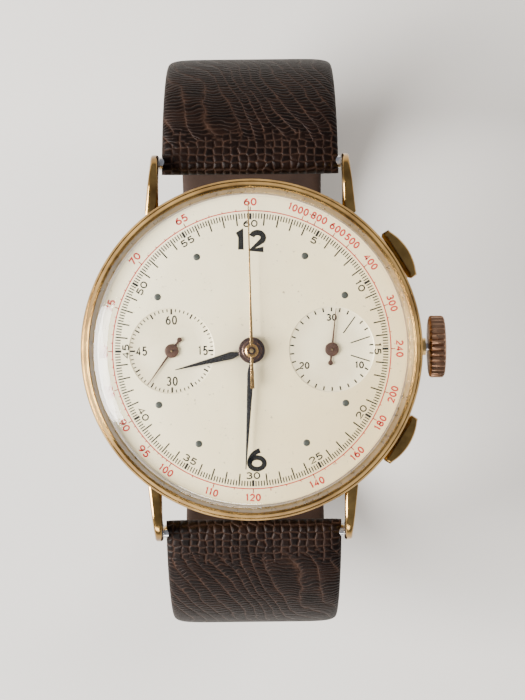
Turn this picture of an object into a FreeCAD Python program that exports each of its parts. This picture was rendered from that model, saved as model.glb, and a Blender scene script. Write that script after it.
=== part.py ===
"""Hand-wound wrist chronograph with two registers, on a buckled leather strap. Lengths are in millimetres.

Frame: the origin is the centre of the case back's outer face, +Z goes through the watch and out of the
dial, +Y points to 12 o'clock and +X to 3 o'clock, where the crown is.  The strap is closed, so it makes a
loop below the case, and the watch can stand on the buckle side of that loop.

Every size is a Size: a number that also remembers the spreadsheet expression it comes from, so that one
formula both draws a shape and binds it to the sheet.
"""
import FreeCAD, Part
import math
import os
import Sketcher

DOC = FreeCAD.newDocument("wrist_chronograph")
SHEET = DOC.addObject("Spreadsheet::Sheet", "Dims")
V = FreeCAD.Vector


# ---------------------------------------------------------------- sizes and their expressions
class Size:
    """A number and the expression that gives it in this document."""

    def __init__(self, value, text=None):
        self.value = float(value)
        self.text = text if text is not None else f"{float(value):.9g}"

    def _join(self, other, sign, value, swap=False):
        other = as_size(other)
        a, b = (other, self) if swap else (self, other)
        return Size(value(a.value, b.value), f"({a.text} {sign} {b.text})")

    def __add__(self, other):
        return self._join(other, "+", lambda a, b: a + b)

    def __radd__(self, other):
        return self._join(other, "+", lambda a, b: a + b, True)

    def __sub__(self, other):
        return self._join(other, "-", lambda a, b: a - b)

    def __rsub__(self, other):
        return self._join(other, "-", lambda a, b: a - b, True)

    def __mul__(self, other):
        return self._join(other, "*", lambda a, b: a * b)

    def __rmul__(self, other):
        return self._join(other, "*", lambda a, b: a * b, True)

    def __truediv__(self, other):
        return self._join(other, "/", lambda a, b: a / b)

    def __neg__(self):
        return Size(-self.value, f"(-1 * {self.text})")

    def __float__(self):
        return self.value


def as_size(x):
    return x if isinstance(x, Size) else Size(x)


def root(x):
    return Size(math.sqrt(x.value), f"sqrt({x.text})")


def sine(degrees):
    d = as_size(degrees)
    return Size(math.sin(math.radians(d.value)), f"sin({d.text})")


def cosine(degrees):
    d = as_size(degrees)
    return Size(math.cos(math.radians(d.value)), f"cos({d.text})")


def polar(radius, degrees, centre=(0, 0)):
    return (centre[0] + radius * cosine(degrees), centre[1] + radius * sine(degrees))


SIZES = {
    # movement plates and levels
    "plate_radius": 16.4,
    "plate_level": 5.0,
    "plate_height": 1.6,
    "rim_width": 0.9,
    "bridge_level": 2.4,
    "bridge_height": 0.6,
    "deck_level": 1.0,
    "deck_height": 0.33,
    "stem_level": 4.0,
    "register_offset": 8.9,
    "register_radius": 4.7,
    "register_depth": 0.12,
    "jewel_radius": 0.55,
    "jewel_bore": 0.13,
    "jewel_height": 0.3,
    "pivot_radius": 0.1,
    "arbor_radius": 0.22,
    # case
    "back_height": 0.7,
    "case_gap": 0.15,
    "case_wall": 1.95,
    "band_bottom": 0.9,
    "band_top": 7.6,
    "dial_overhang": 0.9,
    "dial_gap": 0.1,
    "dial_height": 0.4,
    "neck_wall": 0.7,
    "neck_height": 1.0,
    "bezel_wall": 0.88,
    "bezel_opening": 0.7,
    "bezel_height": 1.9,
    "crystal_wall": 0.8,
    "crystal_rise": 2.6,
    "pole_radius": 0.3,
    "fit_gap": 0.03,
    # crown, stem and pushers
    "crown_radius": 3.5,
    "crown_length": 1.9,
    "crown_gap": 1.35,
    "stem_radius": 0.5,
    "tube_wall": 0.45,
    "pusher_radius": 0.8,
    "pusher_angle": 32.0,
    "pusher_half_length": 3.0,
    "pusher_thickness": 1.75,
    "pusher_height": 2.6,
    "pusher_travel": 0.45,
    "pusher_gap": 0.12,
    # lugs and spring bars
    "lug_gap": 20.6,
    "lug_width": 1.05,
    "lug_end_radius": 0.95,
    "bar_reach": 2.45,
    "bar_level": 1.9,
    "bar_radius": 0.75,
    "bar_tip_radius": 0.4,
    # strap, buckle and keepers
    "strap_thick": 2.2,
    "strap_eye_wall": 0.2,
    "strap_side_gap": 0.3,
    "buckle_width": 18.0,
    "lay_angle": 15.0,
    "turn_angle": 150.0,
    "shoulder_bend": 15.9,
    "side_bend": 26.0,
    "foot_bend": 14.0,
    "layer_gap": 0.25,
    "buckle_inset": 3.6,
    "tail_angle": 26.0,
    "buckle_reach": 9.7,
    "buckle_wall": 1.4,
    "buckle_side_gap": 0.35,
    "buckle_bar_radius": 0.6,
    "tongue_width": 1.0,
    "keeper_gap": 0.1,
    "keeper_wall": 0.8,
    "keeper_width": 4.0,
    "keeper_offset": 2.1,
    "keeper_spacing": 3.0,
}
for row, (alias, number) in enumerate(SIZES.items(), 1):
    SHEET.set(f"A{row}", alias)
    SHEET.set(f"B{row}", str(number))
    SHEET.setAlias(f"B{row}", alias)
DOC.recompute()


class Dimensions:
    """The spreadsheet's cells as Sizes, by alias."""

    def __getattr__(self, alias):
        return Size(SHEET.get(alias), f"Dims.{alias}")


D = Dimensions()
SUBPARTS = []


# ---------------------------------------------------------------- building blocks
def new_body(label):
    body = DOC.addObject("PartDesign::Body", label)
    body.Label = label
    return body


def plane_sketch(body, role, level=None):
    """A sketch on one of the body's origin planes, lifted by level along that plane's normal."""
    sketch = body.newObject("Sketcher::SketchObject", "Sketch")
    plane = next(f for f in body.Origin.OriginFeatures if f.Role == role)
    sketch.AttachmentSupport = [(plane, "")]
    sketch.MapMode = "FlatFace"
    if level is not None:
        sketch.setExpression(".AttachmentOffset.Base.z", as_size(level).text)
    return sketch


def draw(sketch, vertices):
    """A closed outline. A vertex is (x, y), or (x, y, radius) where an arc runs on to the next vertex:
    its centre is to the left of that run when radius is positive, and to the right when negative."""
    points = [(as_size(v[0]), as_size(v[1])) for v in vertices]
    count, ends, arcs = len(points), [], []
    for i, vertex in enumerate(vertices):
        p = V(*map(float, points[i]), 0)
        q = V(*map(float, points[(i + 1) % count]), 0)
        if len(vertex) == 2:
            ends.append((sketch.addGeometry(Part.LineSegment(p, q)), 1, 2))
            continue
        bend = as_size(vertex[2])
        radius, chord = abs(bend.value), q - p
        left = V(-chord.y, chord.x, 0).normalize()
        rise = math.sqrt(max(radius**2 - chord.Length**2 / 4, 0.0))
        centre = (p + q) * 0.5 + left * math.copysign(rise, bend.value)
        first, last = (p, q) if bend.value > 0 else (q, p)
        angles = [math.atan2(*(w - centre)[1::-1]) for w in (first, last)]
        circle = Part.Circle(centre, V(0, 0, 1), radius)
        arc = Part.ArcOfCircle(circle, angles[0], angles[1] + 2 * math.pi * (angles[1] < angles[0]))
        geo = sketch.addGeometry(arc)
        ends.append((geo, 1, 2) if bend.value > 0 else (geo, 2, 1))
        arcs.append((geo, bend if bend.value > 0 else -bend))
    for i in range(count):
        here, after = ends[i], ends[(i + 1) % count]
        sketch.addConstraint(Sketcher.Constraint("Coincident", here[0], here[2], after[0], after[1]))
    for (geo, start, _), point in zip(ends, points):
        for kind, size in zip(("DistanceX", "DistanceY"), point):
            made = sketch.addConstraint(Sketcher.Constraint(kind, -1, 1, geo, start, size.value))
            sketch.setExpression(f"Constraints[{made}]", size.text)
    for geo, radius in arcs:
        made = sketch.addConstraint(Sketcher.Constraint("Radius", geo, radius.value))
        sketch.setExpression(f"Constraints[{made}]", radius.text)


def draw_circle(sketch, radius, at=(0, 0)):
    centre = V(float(as_size(at[0])), float(as_size(at[1])), 0)
    geo = sketch.addGeometry(Part.Circle(centre, V(0, 0, 1), float(radius)))
    made = sketch.addConstraint(Sketcher.Constraint("Radius", geo, float(radius)))
    sketch.setExpression(f"Constraints[{made}]", as_size(radius).text)
    for kind, size in zip(("DistanceX", "DistanceY"), map(as_size, at)):
        made = sketch.addConstraint(Sketcher.Constraint(kind, -1, 1, geo, 3, size.value))
        sketch.setExpression(f"Constraints[{made}]", size.text)


def draw_many(sketch, points):
    """A closed outline of many short lines, such as a row of teeth, whose points a formula gives."""
    corners = [V(x, y, 0) for x, y in points]
    sketch.addGeometry([Part.LineSegment(a, b) for a, b in zip(corners, corners[1:] + corners[:1])])


def feature(body, kind, sketch, **sizes):
    made = body.newObject(f"PartDesign::{kind}", kind)
    made.Profile = sketch
    for name, size in sizes.items():
        if isinstance(size, (Size, float, int)) and not isinstance(size, bool):
            made.setExpression(name, as_size(size).text)
        else:
            setattr(made, name, size)
    sketch.Visibility = False
    return made


def pad(body, draws, level, height, role="XY_Plane", kind="Pad"):
    """Pads (or pockets) what draws(sketch) puts on the plane at level, over height upwards."""
    sketch = plane_sketch(body, role, level)
    draws(sketch)
    return feature(body, kind, sketch, Length=height, Reversed=kind == "Pocket")


def pad_disc(body, radius, level, height, at=(0, 0), bore=None):
    def draws(sketch):
        draw_circle(sketch, radius, at)
        if bore is not None:
            draw_circle(sketch, bore, at)

    return pad(body, draws, level, height)


def pocket_disc(body, radius, level, height, at=(0, 0)):
    return pad(body, lambda s: draw_circle(s, radius, at), level, height, kind="Pocket")


def turn(body, vertices, kind="Revolution"):
    """A profile of (radius, height) vertices turned about the body's Z axis."""
    sketch = plane_sketch(body, "XZ_Plane")
    draw(sketch, vertices)
    return feature(body, kind, sketch, ReferenceAxis=(sketch, ["V_Axis"]), Angle=360)


def place(thing, x=0, y=0, z=0, axis=None, angle=0):
    """Binds an object's Placement: its position, and a turn of angle degrees about axis."""
    if axis is not None:
        thing.Placement = FreeCAD.Placement(V(), FreeCAD.Rotation(V(*axis), 30))
        thing.setExpression(".Placement.Rotation.Angle", as_size(angle).text)
    for key, size in zip("xyz", (x, y, z)):
        thing.setExpression(f".Placement.Base.{key}", as_size(size).text)
    return thing


def primitive(kind, name, **sizes):
    """A Part primitive, such as Part::Cylinder, with its sizes bound."""
    made = DOC.addObject(f"Part::{kind}", name)
    for key, size in sizes.items():
        made.setExpression(key, as_size(size).text)
    return made


def rod(name, radius, length, x, y, z, heading):
    """A cylinder that lies flat, from (x, y, z) along heading degrees from +X."""
    made = primitive("Cylinder", name, Radius=radius, Height=length)
    tip = FreeCAD.Rotation(V(0, 1, 0), 90)
    made.Placement = FreeCAD.Placement(V(), tip)
    swing = DOC.addObject("Part::Compound", name + "_lying")
    swing.Links = [made]
    return place(swing, x, y, z, (0, 0, 1), heading)


def cut(label, base, *tools):
    """base less the tools, which are first fused into one."""
    tool = tools[0]
    if len(tools) > 1:
        tool = DOC.addObject("Part::MultiFuse", label + "_tools")
        tool.Shapes = list(tools)
    made = DOC.addObject("Part::Cut", label)
    made.Base, made.Tool, made.Label = base, tool, label
    return made


def fuse(label, *shapes):
    made = DOC.addObject("Part::MultiFuse", label)
    made.Shapes, made.Label = list(shapes), label
    return made


def cross_bore(name, radius, y, z):
    """The hole for a bar of that radius that runs right across the strap, along X."""
    return rod(name, radius + D.fit_gap, D.lug_gap * 3, D.lug_gap * -1.5, y, z, 0)


def group(label, *shapes):
    """Separate solids in one node, such as a set of screws."""
    made = DOC.addObject("Part::Compound", label)
    made.Links, made.Label = list(shapes), label
    return made


def common(label, first, second):
    made = DOC.addObject("Part::MultiCommon", label)
    made.Shapes, made.Label = [first, second], label
    return made


def keep(label, thing):
    """Marks thing as the sub-part called label."""
    thing.Label = label
    SUBPARTS.append((label, thing))
    return thing


# ---------------------------------------------------------------- derived places
CASE_BORE = D.plate_radius + D.case_gap
BAND = CASE_BORE + D.case_wall
DIAL_RADIUS = D.plate_radius + D.dial_overhang
DIAL_SEAT = DIAL_RADIUS + D.dial_gap
NECK = DIAL_SEAT + D.neck_wall
BEZEL = NECK + D.fit_gap + D.bezel_wall
DIAL_LEVEL = D.band_top + D.dial_gap
DIAL_TOP = DIAL_LEVEL + D.dial_height
NECK_TOP = D.band_top + D.neck_height
BEZEL_TOP = D.band_top + D.bezel_height
PLATE_TOP = D.plate_level + D.plate_height
BRIDGE_TOP = D.bridge_level + D.bridge_height
DECK_TOP = D.deck_level + D.deck_height
BAR_Y = BAND + D.bar_reach
CENTRE = (Size(0), Size(0))
SECONDS = (-D.register_offset, Size(0))
MINUTES = (D.register_offset, Size(0))

# the movement's plan is drawn for registers this far from the centre, and grows or shrinks with them
PLAN_OFFSET = 8.9
UNIT = D.register_offset / PLAN_OFFSET


def spot(x, y):
    """A place in the movement's plan."""
    return (UNIT * x, UNIT * y)


def spots(*pairs):
    return [spot(x, y) for x, y in pairs]


# ---------------------------------------------------------------- wheels
def tooth_ring(teeth, module, phase, tip=0.85, root_depth=1.15):
    """The outline of a spur wheel: watch teeth have rounded tips and narrow flanks, here six points each."""
    pitch = teeth * module / 2
    step = 2 * math.pi / teeth
    profile = [
        (-0.25, pitch - root_depth * module),
        (-0.21, pitch),
        (-0.10, pitch + tip * module),
        (0.10, pitch + tip * module),
        (0.21, pitch),
        (0.25, pitch - root_depth * module),
    ]
    turn_by = math.radians(phase)
    return [
        (radius * math.cos(step * (k + share) + turn_by), radius * math.sin(step * (k + share) + turn_by))
        for k in range(teeth)
        for share, radius in profile
    ]


def spokes(sketch, hub, rim, count, arm):
    """Openings between the arms of a wheel, each a sector with straight sides."""
    for k in range(count):
        middle = 360.0 * k / count
        spread_in = math.degrees(math.asin(min(arm / 2 / hub, 0.9)))
        spread_out = math.degrees(math.asin(arm / 2 / rim))
        half = 180.0 / count
        corners = [
            (hub, middle - half + spread_in),
            (rim, middle - half + spread_out),
            (rim, middle),
            (rim, middle + half - spread_out),
            (hub, middle + half - spread_in),
        ]
        draw_many(sketch, [(r * math.cos(math.radians(a)), r * math.sin(math.radians(a))) for r, a in corners])


def gear_layer(body, teeth, module, phase, level, height, bore=None, crossings=None):
    """A toothed layer; crossings are the hub's and the rim's radius, the arms' count and their width."""

    def draws(sketch):
        draw_many(sketch, tooth_ring(teeth, module * UNIT.value, phase))
        if bore is not None:
            draw_circle(sketch, bore)
        if crossings:
            hub, rim, count, arm = crossings
            spokes(sketch, hub * UNIT.value, rim * UNIT.value, count, arm * UNIT.value)

    return pad(body, draws, level, height)


def mesh_phase(teeth, direction):
    """The phase that centres a tooth gap on direction degrees, for a wheel with that many teeth."""
    return direction + 180.0 / teeth


def direction(start, end):
    return math.degrees(math.atan2(float(end[1] - start[1]), float(end[0] - start[0])))


def meet(a, reach_a, b, reach_b, side):
    """The point at reach_a from a and reach_b from b, to the left of a to b when side is 1."""
    dx, dy = b[0] - a[0], b[1] - a[1]
    span = root(dx * dx + dy * dy)
    along = (reach_a * reach_a - reach_b * reach_b + span * span) / (2 * span)
    across = root(reach_a * reach_a - along * along) * side
    return (
        a[0] + (along * dx - across * dy) / span,
        a[1] + (along * dy + across * dx) / span,
    )


BARREL_TEETH, BARREL_MODULE = 80, 0.14
CENTRE_LEAVES, CENTRE_TEETH, CENTRE_MODULE = 10, 80, 0.11
THIRD_LEAVES, THIRD_TEETH, THIRD_MODULE = 10, 75, 0.10
FOURTH_LEAVES, FOURTH_TEETH, FOURTH_MODULE = 10, 80, 0.08
ESCAPE_LEAVES, ESCAPE_TEETH, ESCAPE_RADIUS = 8, 15, 2.5
# one escape tooth, as (share of the pitch, share of the wheel's radius)
CLUB_TOOTH = ((0.0, 0.78), (0.16, 0.98), (0.20, 1.0), (0.36, 0.97), (0.34, 0.9), (0.5, 0.78))
DRIVE_TEETH, COUPLING_TEETH, CHRONO_MODULE = 60, 36, 0.10
RECORD_TEETH, RECORD_MODULE = 30, 0.13
IDLER_TEETH = 40
RATCHET_TEETH, CARRY_TEETH, CROWN_TEETH, WINDING_MODULE = 48, 30, 25, 0.15
CANNON_TEETH, MINUTE_TEETH, MOTION_MODULE = 12, 36, 0.13
MINUTE_LEAVES, HOUR_TEETH = 10, 40
HOUR_MODULE = (CANNON_TEETH + MINUTE_TEETH) * MOTION_MODULE / (MINUTE_LEAVES + HOUR_TEETH)


def centres(teeth_a, teeth_b, module):
    """The distance between two meshing wheels."""
    return UNIT * ((teeth_a + teeth_b) * module / 2)


BARREL = polar(centres(BARREL_TEETH, CENTRE_LEAVES, BARREL_MODULE), 45)
THIRD = meet(
    SECONDS,
    centres(THIRD_TEETH, FOURTH_LEAVES, THIRD_MODULE),
    CENTRE,
    centres(CENTRE_TEETH, THIRD_LEAVES, CENTRE_MODULE),
    1,
)
ESCAPE = polar(centres(FOURTH_TEETH, ESCAPE_LEAVES, FOURTH_MODULE), -70, SECONDS)
PALLET = polar(UNIT * 3.0, -30, ESCAPE)
BALANCE = polar(UNIT * 3.4, -70, PALLET)
CROWN_WHEEL = spot(11.6, 0)
CARRY = meet(
    BARREL,
    centres(RATCHET_TEETH, CARRY_TEETH, WINDING_MODULE),
    CROWN_WHEEL,
    centres(CARRY_TEETH, CROWN_TEETH, WINDING_MODULE),
    1,
)
IDLER = (D.register_offset - centres(IDLER_TEETH, RECORD_TEETH, RECORD_MODULE), Size(0))
MINUTE_WHEEL = polar(centres(CANNON_TEETH, MINUTE_TEETH, MOTION_MODULE), 160)
COUPLING_REACH = centres(DRIVE_TEETH, COUPLING_TEETH, CHRONO_MODULE)
COUPLING_LIFT = 6.0
COUPLING_MESHED = meet(SECONDS, COUPLING_REACH, CENTRE, COUPLING_REACH, -1)
COUPLING = polar(COUPLING_REACH, direction(SECONDS, COUPLING_MESHED) - COUPLING_LIFT, SECONDS)
COLUMN = spot(2.5, 12.3)
LEVER_PIVOT = spot(8.9, 10.9)
HAMMER_PIVOT = spot(6.6, -8.6)
CLICK = spot(-0.6, 9.3)


def arbor(body, bottom, top, radius=None):
    """A pivoted arbor: a thick middle with a thin pivot at each end, as long as a jewel is high."""
    thick = radius if radius is not None else D.arbor_radius
    pad_disc(body, D.pivot_radius, bottom, top - bottom)
    pad_disc(body, thick, bottom + D.jewel_height + D.fit_gap, top - bottom - 2 * (D.jewel_height + D.fit_gap))


def coiled(turns, start, end, half):
    """The outline of a flat spiral spring that winds out from start to end, 2 * half thick."""
    steps = turns * 24
    share = [k / steps for k in range(steps + 1)]
    line = [((start + (end - start) * t) * UNIT.value, 2 * math.pi * turns * t) for t in share]
    outer = [((r + half) * math.cos(a), (r + half) * math.sin(a)) for r, a in line]
    inner = [((r - half) * math.cos(a), (r - half) * math.sin(a)) for r, a in reversed(line)]
    return outer + inner


def barrel_works():
    level = BRIDGE_TOP + 0.15
    drum = new_body("mainspring_barrel")
    gear_layer(drum, BARREL_TEETH, BARREL_MODULE, mesh_phase(BARREL_TEETH, 225), level + 0.85, 0.35)
    pad_disc(drum, UNIT * 5.25, level, 0.9)
    pocket_disc(drum, UNIT * 4.95, level + 0.12, 0.96)
    pocket_disc(drum, 0.75, level, 1.2)
    keep("mainspring_barrel", place(drum, BARREL[0], BARREL[1]))

    post = new_body("barrel_arbor")
    pad_disc(post, 0.6, D.bridge_level - 0.4, D.plate_level + 0.8 - D.bridge_level + 0.4)
    pad_disc(post, UNIT * 1.3, level + 0.2, 0.8)
    keep("barrel_arbor", place(post, BARREL[0], BARREL[1]))

    spring = new_body("mainspring")
    pad(spring, lambda s: draw_many(s, coiled(5, 1.45, 4.7, 0.09)), level + 0.2, 0.75)
    keep("mainspring", place(spring, BARREL[0], BARREL[1]))


def going_train():
    """Centre, third, fourth and escape wheels: each is a brass wheel riveted to its steel pinion."""
    low, high = D.bridge_level, D.plate_level + 0.5
    wheel = new_body("centre_wheel")
    centre_phase = mesh_phase(CENTRE_TEETH, direction(CENTRE, THIRD))
    level = D.plate_level - 0.45
    gear_layer(wheel, CENTRE_TEETH, CENTRE_MODULE, centre_phase, level, 0.2, None, (1.2, 3.6, 5, 0.5))
    gear_layer(wheel, CENTRE_LEAVES, BARREL_MODULE, 45, BRIDGE_TOP + 0.3, 1.25)
    pad_disc(wheel, 0.5, low + 0.05, 4.9)
    pocket_disc(wheel, 0.3, low + 0.05, 6.5)
    keep("centre_wheel", wheel)

    wheel = new_body("third_wheel")
    third_phase = mesh_phase(THIRD_TEETH, direction(THIRD, SECONDS))
    gear_layer(wheel, THIRD_TEETH, THIRD_MODULE, third_phase, BRIDGE_TOP + 0.7, 0.15, None, (0.9, 3.0, 5, 0.45))
    gear_layer(wheel, THIRD_LEAVES, CENTRE_MODULE, direction(THIRD, CENTRE), D.plate_level - 0.55, 0.4)
    arbor(wheel, low, high)
    keep("third_wheel", place(wheel, THIRD[0], THIRD[1]))

    wheel = new_body("fourth_wheel")
    fourth_phase = mesh_phase(FOURTH_TEETH, direction(SECONDS, ESCAPE))
    level = D.plate_level - 0.75
    gear_layer(wheel, FOURTH_TEETH, FOURTH_MODULE, fourth_phase, level, 0.15, None, (0.8, 2.6, 5, 0.4))
    gear_layer(wheel, FOURTH_LEAVES, THIRD_MODULE, direction(SECONDS, THIRD), BRIDGE_TOP + 0.6, 0.4)
    level = DECK_TOP + 0.27
    gear_layer(wheel, DRIVE_TEETH, CHRONO_MODULE, drive_phase(), level, 0.12, None, (0.8, 2.4, 5, 0.4))
    pad_disc(wheel, 0.1, DECK_TOP + 0.2, DIAL_TOP + 0.6 - DECK_TOP - 0.2)
    pad_disc(wheel, 0.3, DECK_TOP + 0.2, low - DECK_TOP - 0.25)
    pad_disc(wheel, D.arbor_radius, low + 0.35, D.plate_level - low - 0.4)
    keep("fourth_wheel", place(wheel, SECONDS[0], SECONDS[1]))

    wheel = new_body("escape_wheel")

    def club_teeth(sketch):
        points = []
        for k in range(ESCAPE_TEETH):
            base = 2 * math.pi * k / ESCAPE_TEETH
            for share, radius in CLUB_TOOTH:
                angle = base + share * 2 * math.pi / ESCAPE_TEETH
                reach = radius * ESCAPE_RADIUS * UNIT.value
                points.append((reach * math.cos(angle), reach * math.sin(angle)))
        draw_many(sketch, points)
        spokes(sketch, 0.55 * UNIT.value, 1.6 * UNIT.value, 4, 0.3 * UNIT.value)

    pad(wheel, club_teeth, D.plate_level - 0.45, 0.15)
    gear_layer(wheel, ESCAPE_LEAVES, FOURTH_MODULE, direction(ESCAPE, SECONDS), D.plate_level - 0.9, 0.46)
    arbor(wheel, low, high, Size(0.16))
    keep("escape_wheel", place(wheel, ESCAPE[0], ESCAPE[1]))


def drive_phase():
    return mesh_phase(DRIVE_TEETH, direction(SECONDS, COUPLING))


def escapement():
    level = D.plate_level - 0.5
    fork = new_body("pallet_fork")
    swing = direction(PALLET, BALANCE)
    # the lever with its fork slot, and two arms that reach round the escape wheel
    arms = spots((2.35, -0.28), (2.35, -0.12), (2.0, -0.12), (2.0, 0.12), (2.35, 0.12), (2.35, 0.28))
    arms += spots((0.4, 0.3), (-0.2, 0.5), (-1.55, 0.98), (-1.65, 0.66), (-0.4, 0.1))
    arms += spots((-0.28, -0.25), (0.36, -1.78))
    arms += spots((0.66, -1.7), (0.4, -0.35))
    pad(fork, lambda s: draw(s, arms), level, 0.2)
    pad_disc(fork, 0.09, D.plate_level - 0.95, 1.45)
    keep("pallet_fork", place(fork, PALLET[0], PALLET[1], 0, (0, 0, 1), swing))

    balance = new_body("balance_wheel")

    def rim(sketch):
        draw_circle(sketch, UNIT * 4.6)
        spokes(sketch, 0.7 * UNIT.value, 4.15 * UNIT.value, 3, 0.45 * UNIT.value)

    pad(balance, rim, BRIDGE_TOP + 0.3, 0.4)
    pad_disc(balance, 0.09, D.bridge_level, D.plate_level + 0.5 - D.bridge_level)
    pad_disc(balance, 0.25, BRIDGE_TOP, 1.0)
    # roller table with the impulse pin that the fork slot catches
    pad_disc(balance, UNIT * 0.75, level - 0.25, 0.12)
    pad(balance, lambda s: draw_circle(s, 0.07, spot(-0.65, 0)), level - 0.15, 0.3)
    keep("balance_wheel", place(balance, BALANCE[0], BALANCE[1], 0, (0, 0, 1), swing))

    spring = new_body("hairspring")
    pad(spring, lambda s: draw_many(s, coiled(7, 0.62, 2.6, 0.025)), BRIDGE_TOP + 0.06, 0.16)
    keep("hairspring", place(spring, BALANCE[0], BALANCE[1]))


def motion_works():
    """Cannon pinion, minute wheel and hour wheel, which turn the hands under the dial."""
    level = PLATE_TOP
    cannon = new_body("cannon_pinion")
    phase = direction(CENTRE, MINUTE_WHEEL)
    gear_layer(cannon, CANNON_TEETH, MOTION_MODULE, phase, level + 0.05, 0.35)
    pad_disc(cannon, 0.62, level + 0.05, DIAL_TOP + 1.35 - level - 0.05)
    pocket_disc(cannon, 0.51, level + 0.05, DIAL_TOP + 1.5 - level)
    keep("cannon_pinion", cannon)

    wheel = new_body("minute_wheel")
    gear_layer(wheel, MINUTE_TEETH, MOTION_MODULE, mesh_phase(MINUTE_TEETH, phase + 180), level + 0.1, 0.25)
    gear_layer(wheel, MINUTE_LEAVES, HOUR_MODULE, phase + 180, level + 0.3, 0.55)
    pocket_disc(wheel, 0.3, level, 1.0)
    keep("minute_wheel", place(wheel, MINUTE_WHEEL[0], MINUTE_WHEEL[1]))

    wheel = new_body("hour_wheel")
    gear_layer(wheel, HOUR_TEETH, HOUR_MODULE, mesh_phase(HOUR_TEETH, phase), level + 0.5, 0.25)
    pad_disc(wheel, 0.9, level + 0.5, DIAL_TOP + 0.75 - level - 0.5)
    pocket_disc(wheel, 0.66, level, 3.5)
    keep("hour_wheel", wheel)


# ---------------------------------------------------------------- plate and bridges
PLATE_PIVOTS = {"third": THIRD, "escape": ESCAPE, "pallet": PALLET, "balance": BALANCE}


def disc_outline(shape_name, radius, level, height):
    return place(primitive("Cylinder", shape_name, Radius=radius, Height=height), 0, 0, level)


def main_plate():
    plate = new_body("plate_blank")
    pad_disc(plate, D.plate_radius, D.plate_level, D.plate_height)
    pad_disc(plate, D.plate_radius, BRIDGE_TOP, D.plate_level - BRIDGE_TOP, bore=D.plate_radius - D.rim_width)
    boss_in, boss_out = UNIT * 14.2, D.plate_radius - D.rim_width + 0.3
    box = [(boss_in, -1.6), (boss_out, -1.6), (boss_out, 1.6), (boss_in, 1.6)]
    pad(plate, lambda s: draw(s, box), BRIDGE_TOP, D.plate_level - BRIDGE_TOP)
    pad_disc(plate, 0.26, PLATE_TOP, 0.9, MINUTE_WHEEL)
    for at in PLATE_PIVOTS.values():
        pocket_disc(plate, D.jewel_radius, D.plate_level + 0.2, 1.6, at)
        pocket_disc(plate, 0.35, D.plate_level, 0.3, at)
    pocket_disc(plate, 0.56, D.plate_level, 2.0)
    pocket_disc(plate, 0.35, D.plate_level, 2.0, SECONDS)
    pocket_disc(plate, 0.35, D.plate_level, 2.0, MINUTES)
    pocket_disc(plate, 0.63, D.plate_level, 0.9, BARREL)
    # recesses for the winding works and for the pushers that pass through the rim
    recess = [(UNIT * 9.7, -1.9), (boss_in, -1.9), (boss_in, 1.9), (UNIT * 9.7, 1.9)]
    pad(plate, lambda s: draw(s, recess), D.plate_level, 0.75, kind="Pocket")
    for feet in DIAL_FEET:
        pocket_disc(plate, 0.35, D.plate_level + 0.6, 1.2, feet)
    for sign in (1, -1):
        slot = pusher_notch(sign)
        pad(plate, lambda s, slot=slot: draw(s, slot), BRIDGE_TOP, D.plate_level - BRIDGE_TOP, kind="Pocket")
    bore_length = D.plate_radius - boss_in + 2
    bore = rod("stem_bore", D.stem_radius + D.fit_gap, bore_length, boss_in - 1, 0, D.stem_level, 0)
    keep("main_plate", cut("main_plate", plate, bore))


DIAL_FEET = (polar(D.plate_radius - 2.2, 100), polar(D.plate_radius - 2.2, 250))
NOTCH_DEPTH, NOTCH_HALF = 3.2, 3.1


def pusher_notch(sign):
    """The corners of the opening behind a pusher: the upper one when sign is 1, the lower when -1."""
    near, far = D.plate_radius - NOTCH_DEPTH, D.plate_radius + 1
    across, up = cosine(D.pusher_angle), sine(D.pusher_angle)
    corners = ((near, NOTCH_HALF), (near, -NOTCH_HALF), (far, -NOTCH_HALF), (far, NOTCH_HALF))
    return [(x * across - y * up, (x * up + y * across) * sign) for x, y in corners]


def bridge(label, outline, jewels=(), holes=()):
    """A bridge cut from a disc, with jewel seats and plain holes as (place, radius)."""
    blank = new_body(label + "_blank")
    pad(blank, lambda s: draw(s, outline), D.bridge_level, D.bridge_height)
    for at in jewels:
        pocket_disc(blank, D.jewel_radius, D.bridge_level, D.jewel_height, at)
        pocket_disc(blank, 0.35, D.bridge_level, 1.0, at)
    for at, radius in holes:
        pocket_disc(blank, radius, D.bridge_level, 1.0, at)
    disc = disc_outline(label + "_disc", D.plate_radius - 0.2, D.bridge_level, D.bridge_height)
    keep(label, common(label, blank, disc))


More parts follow.
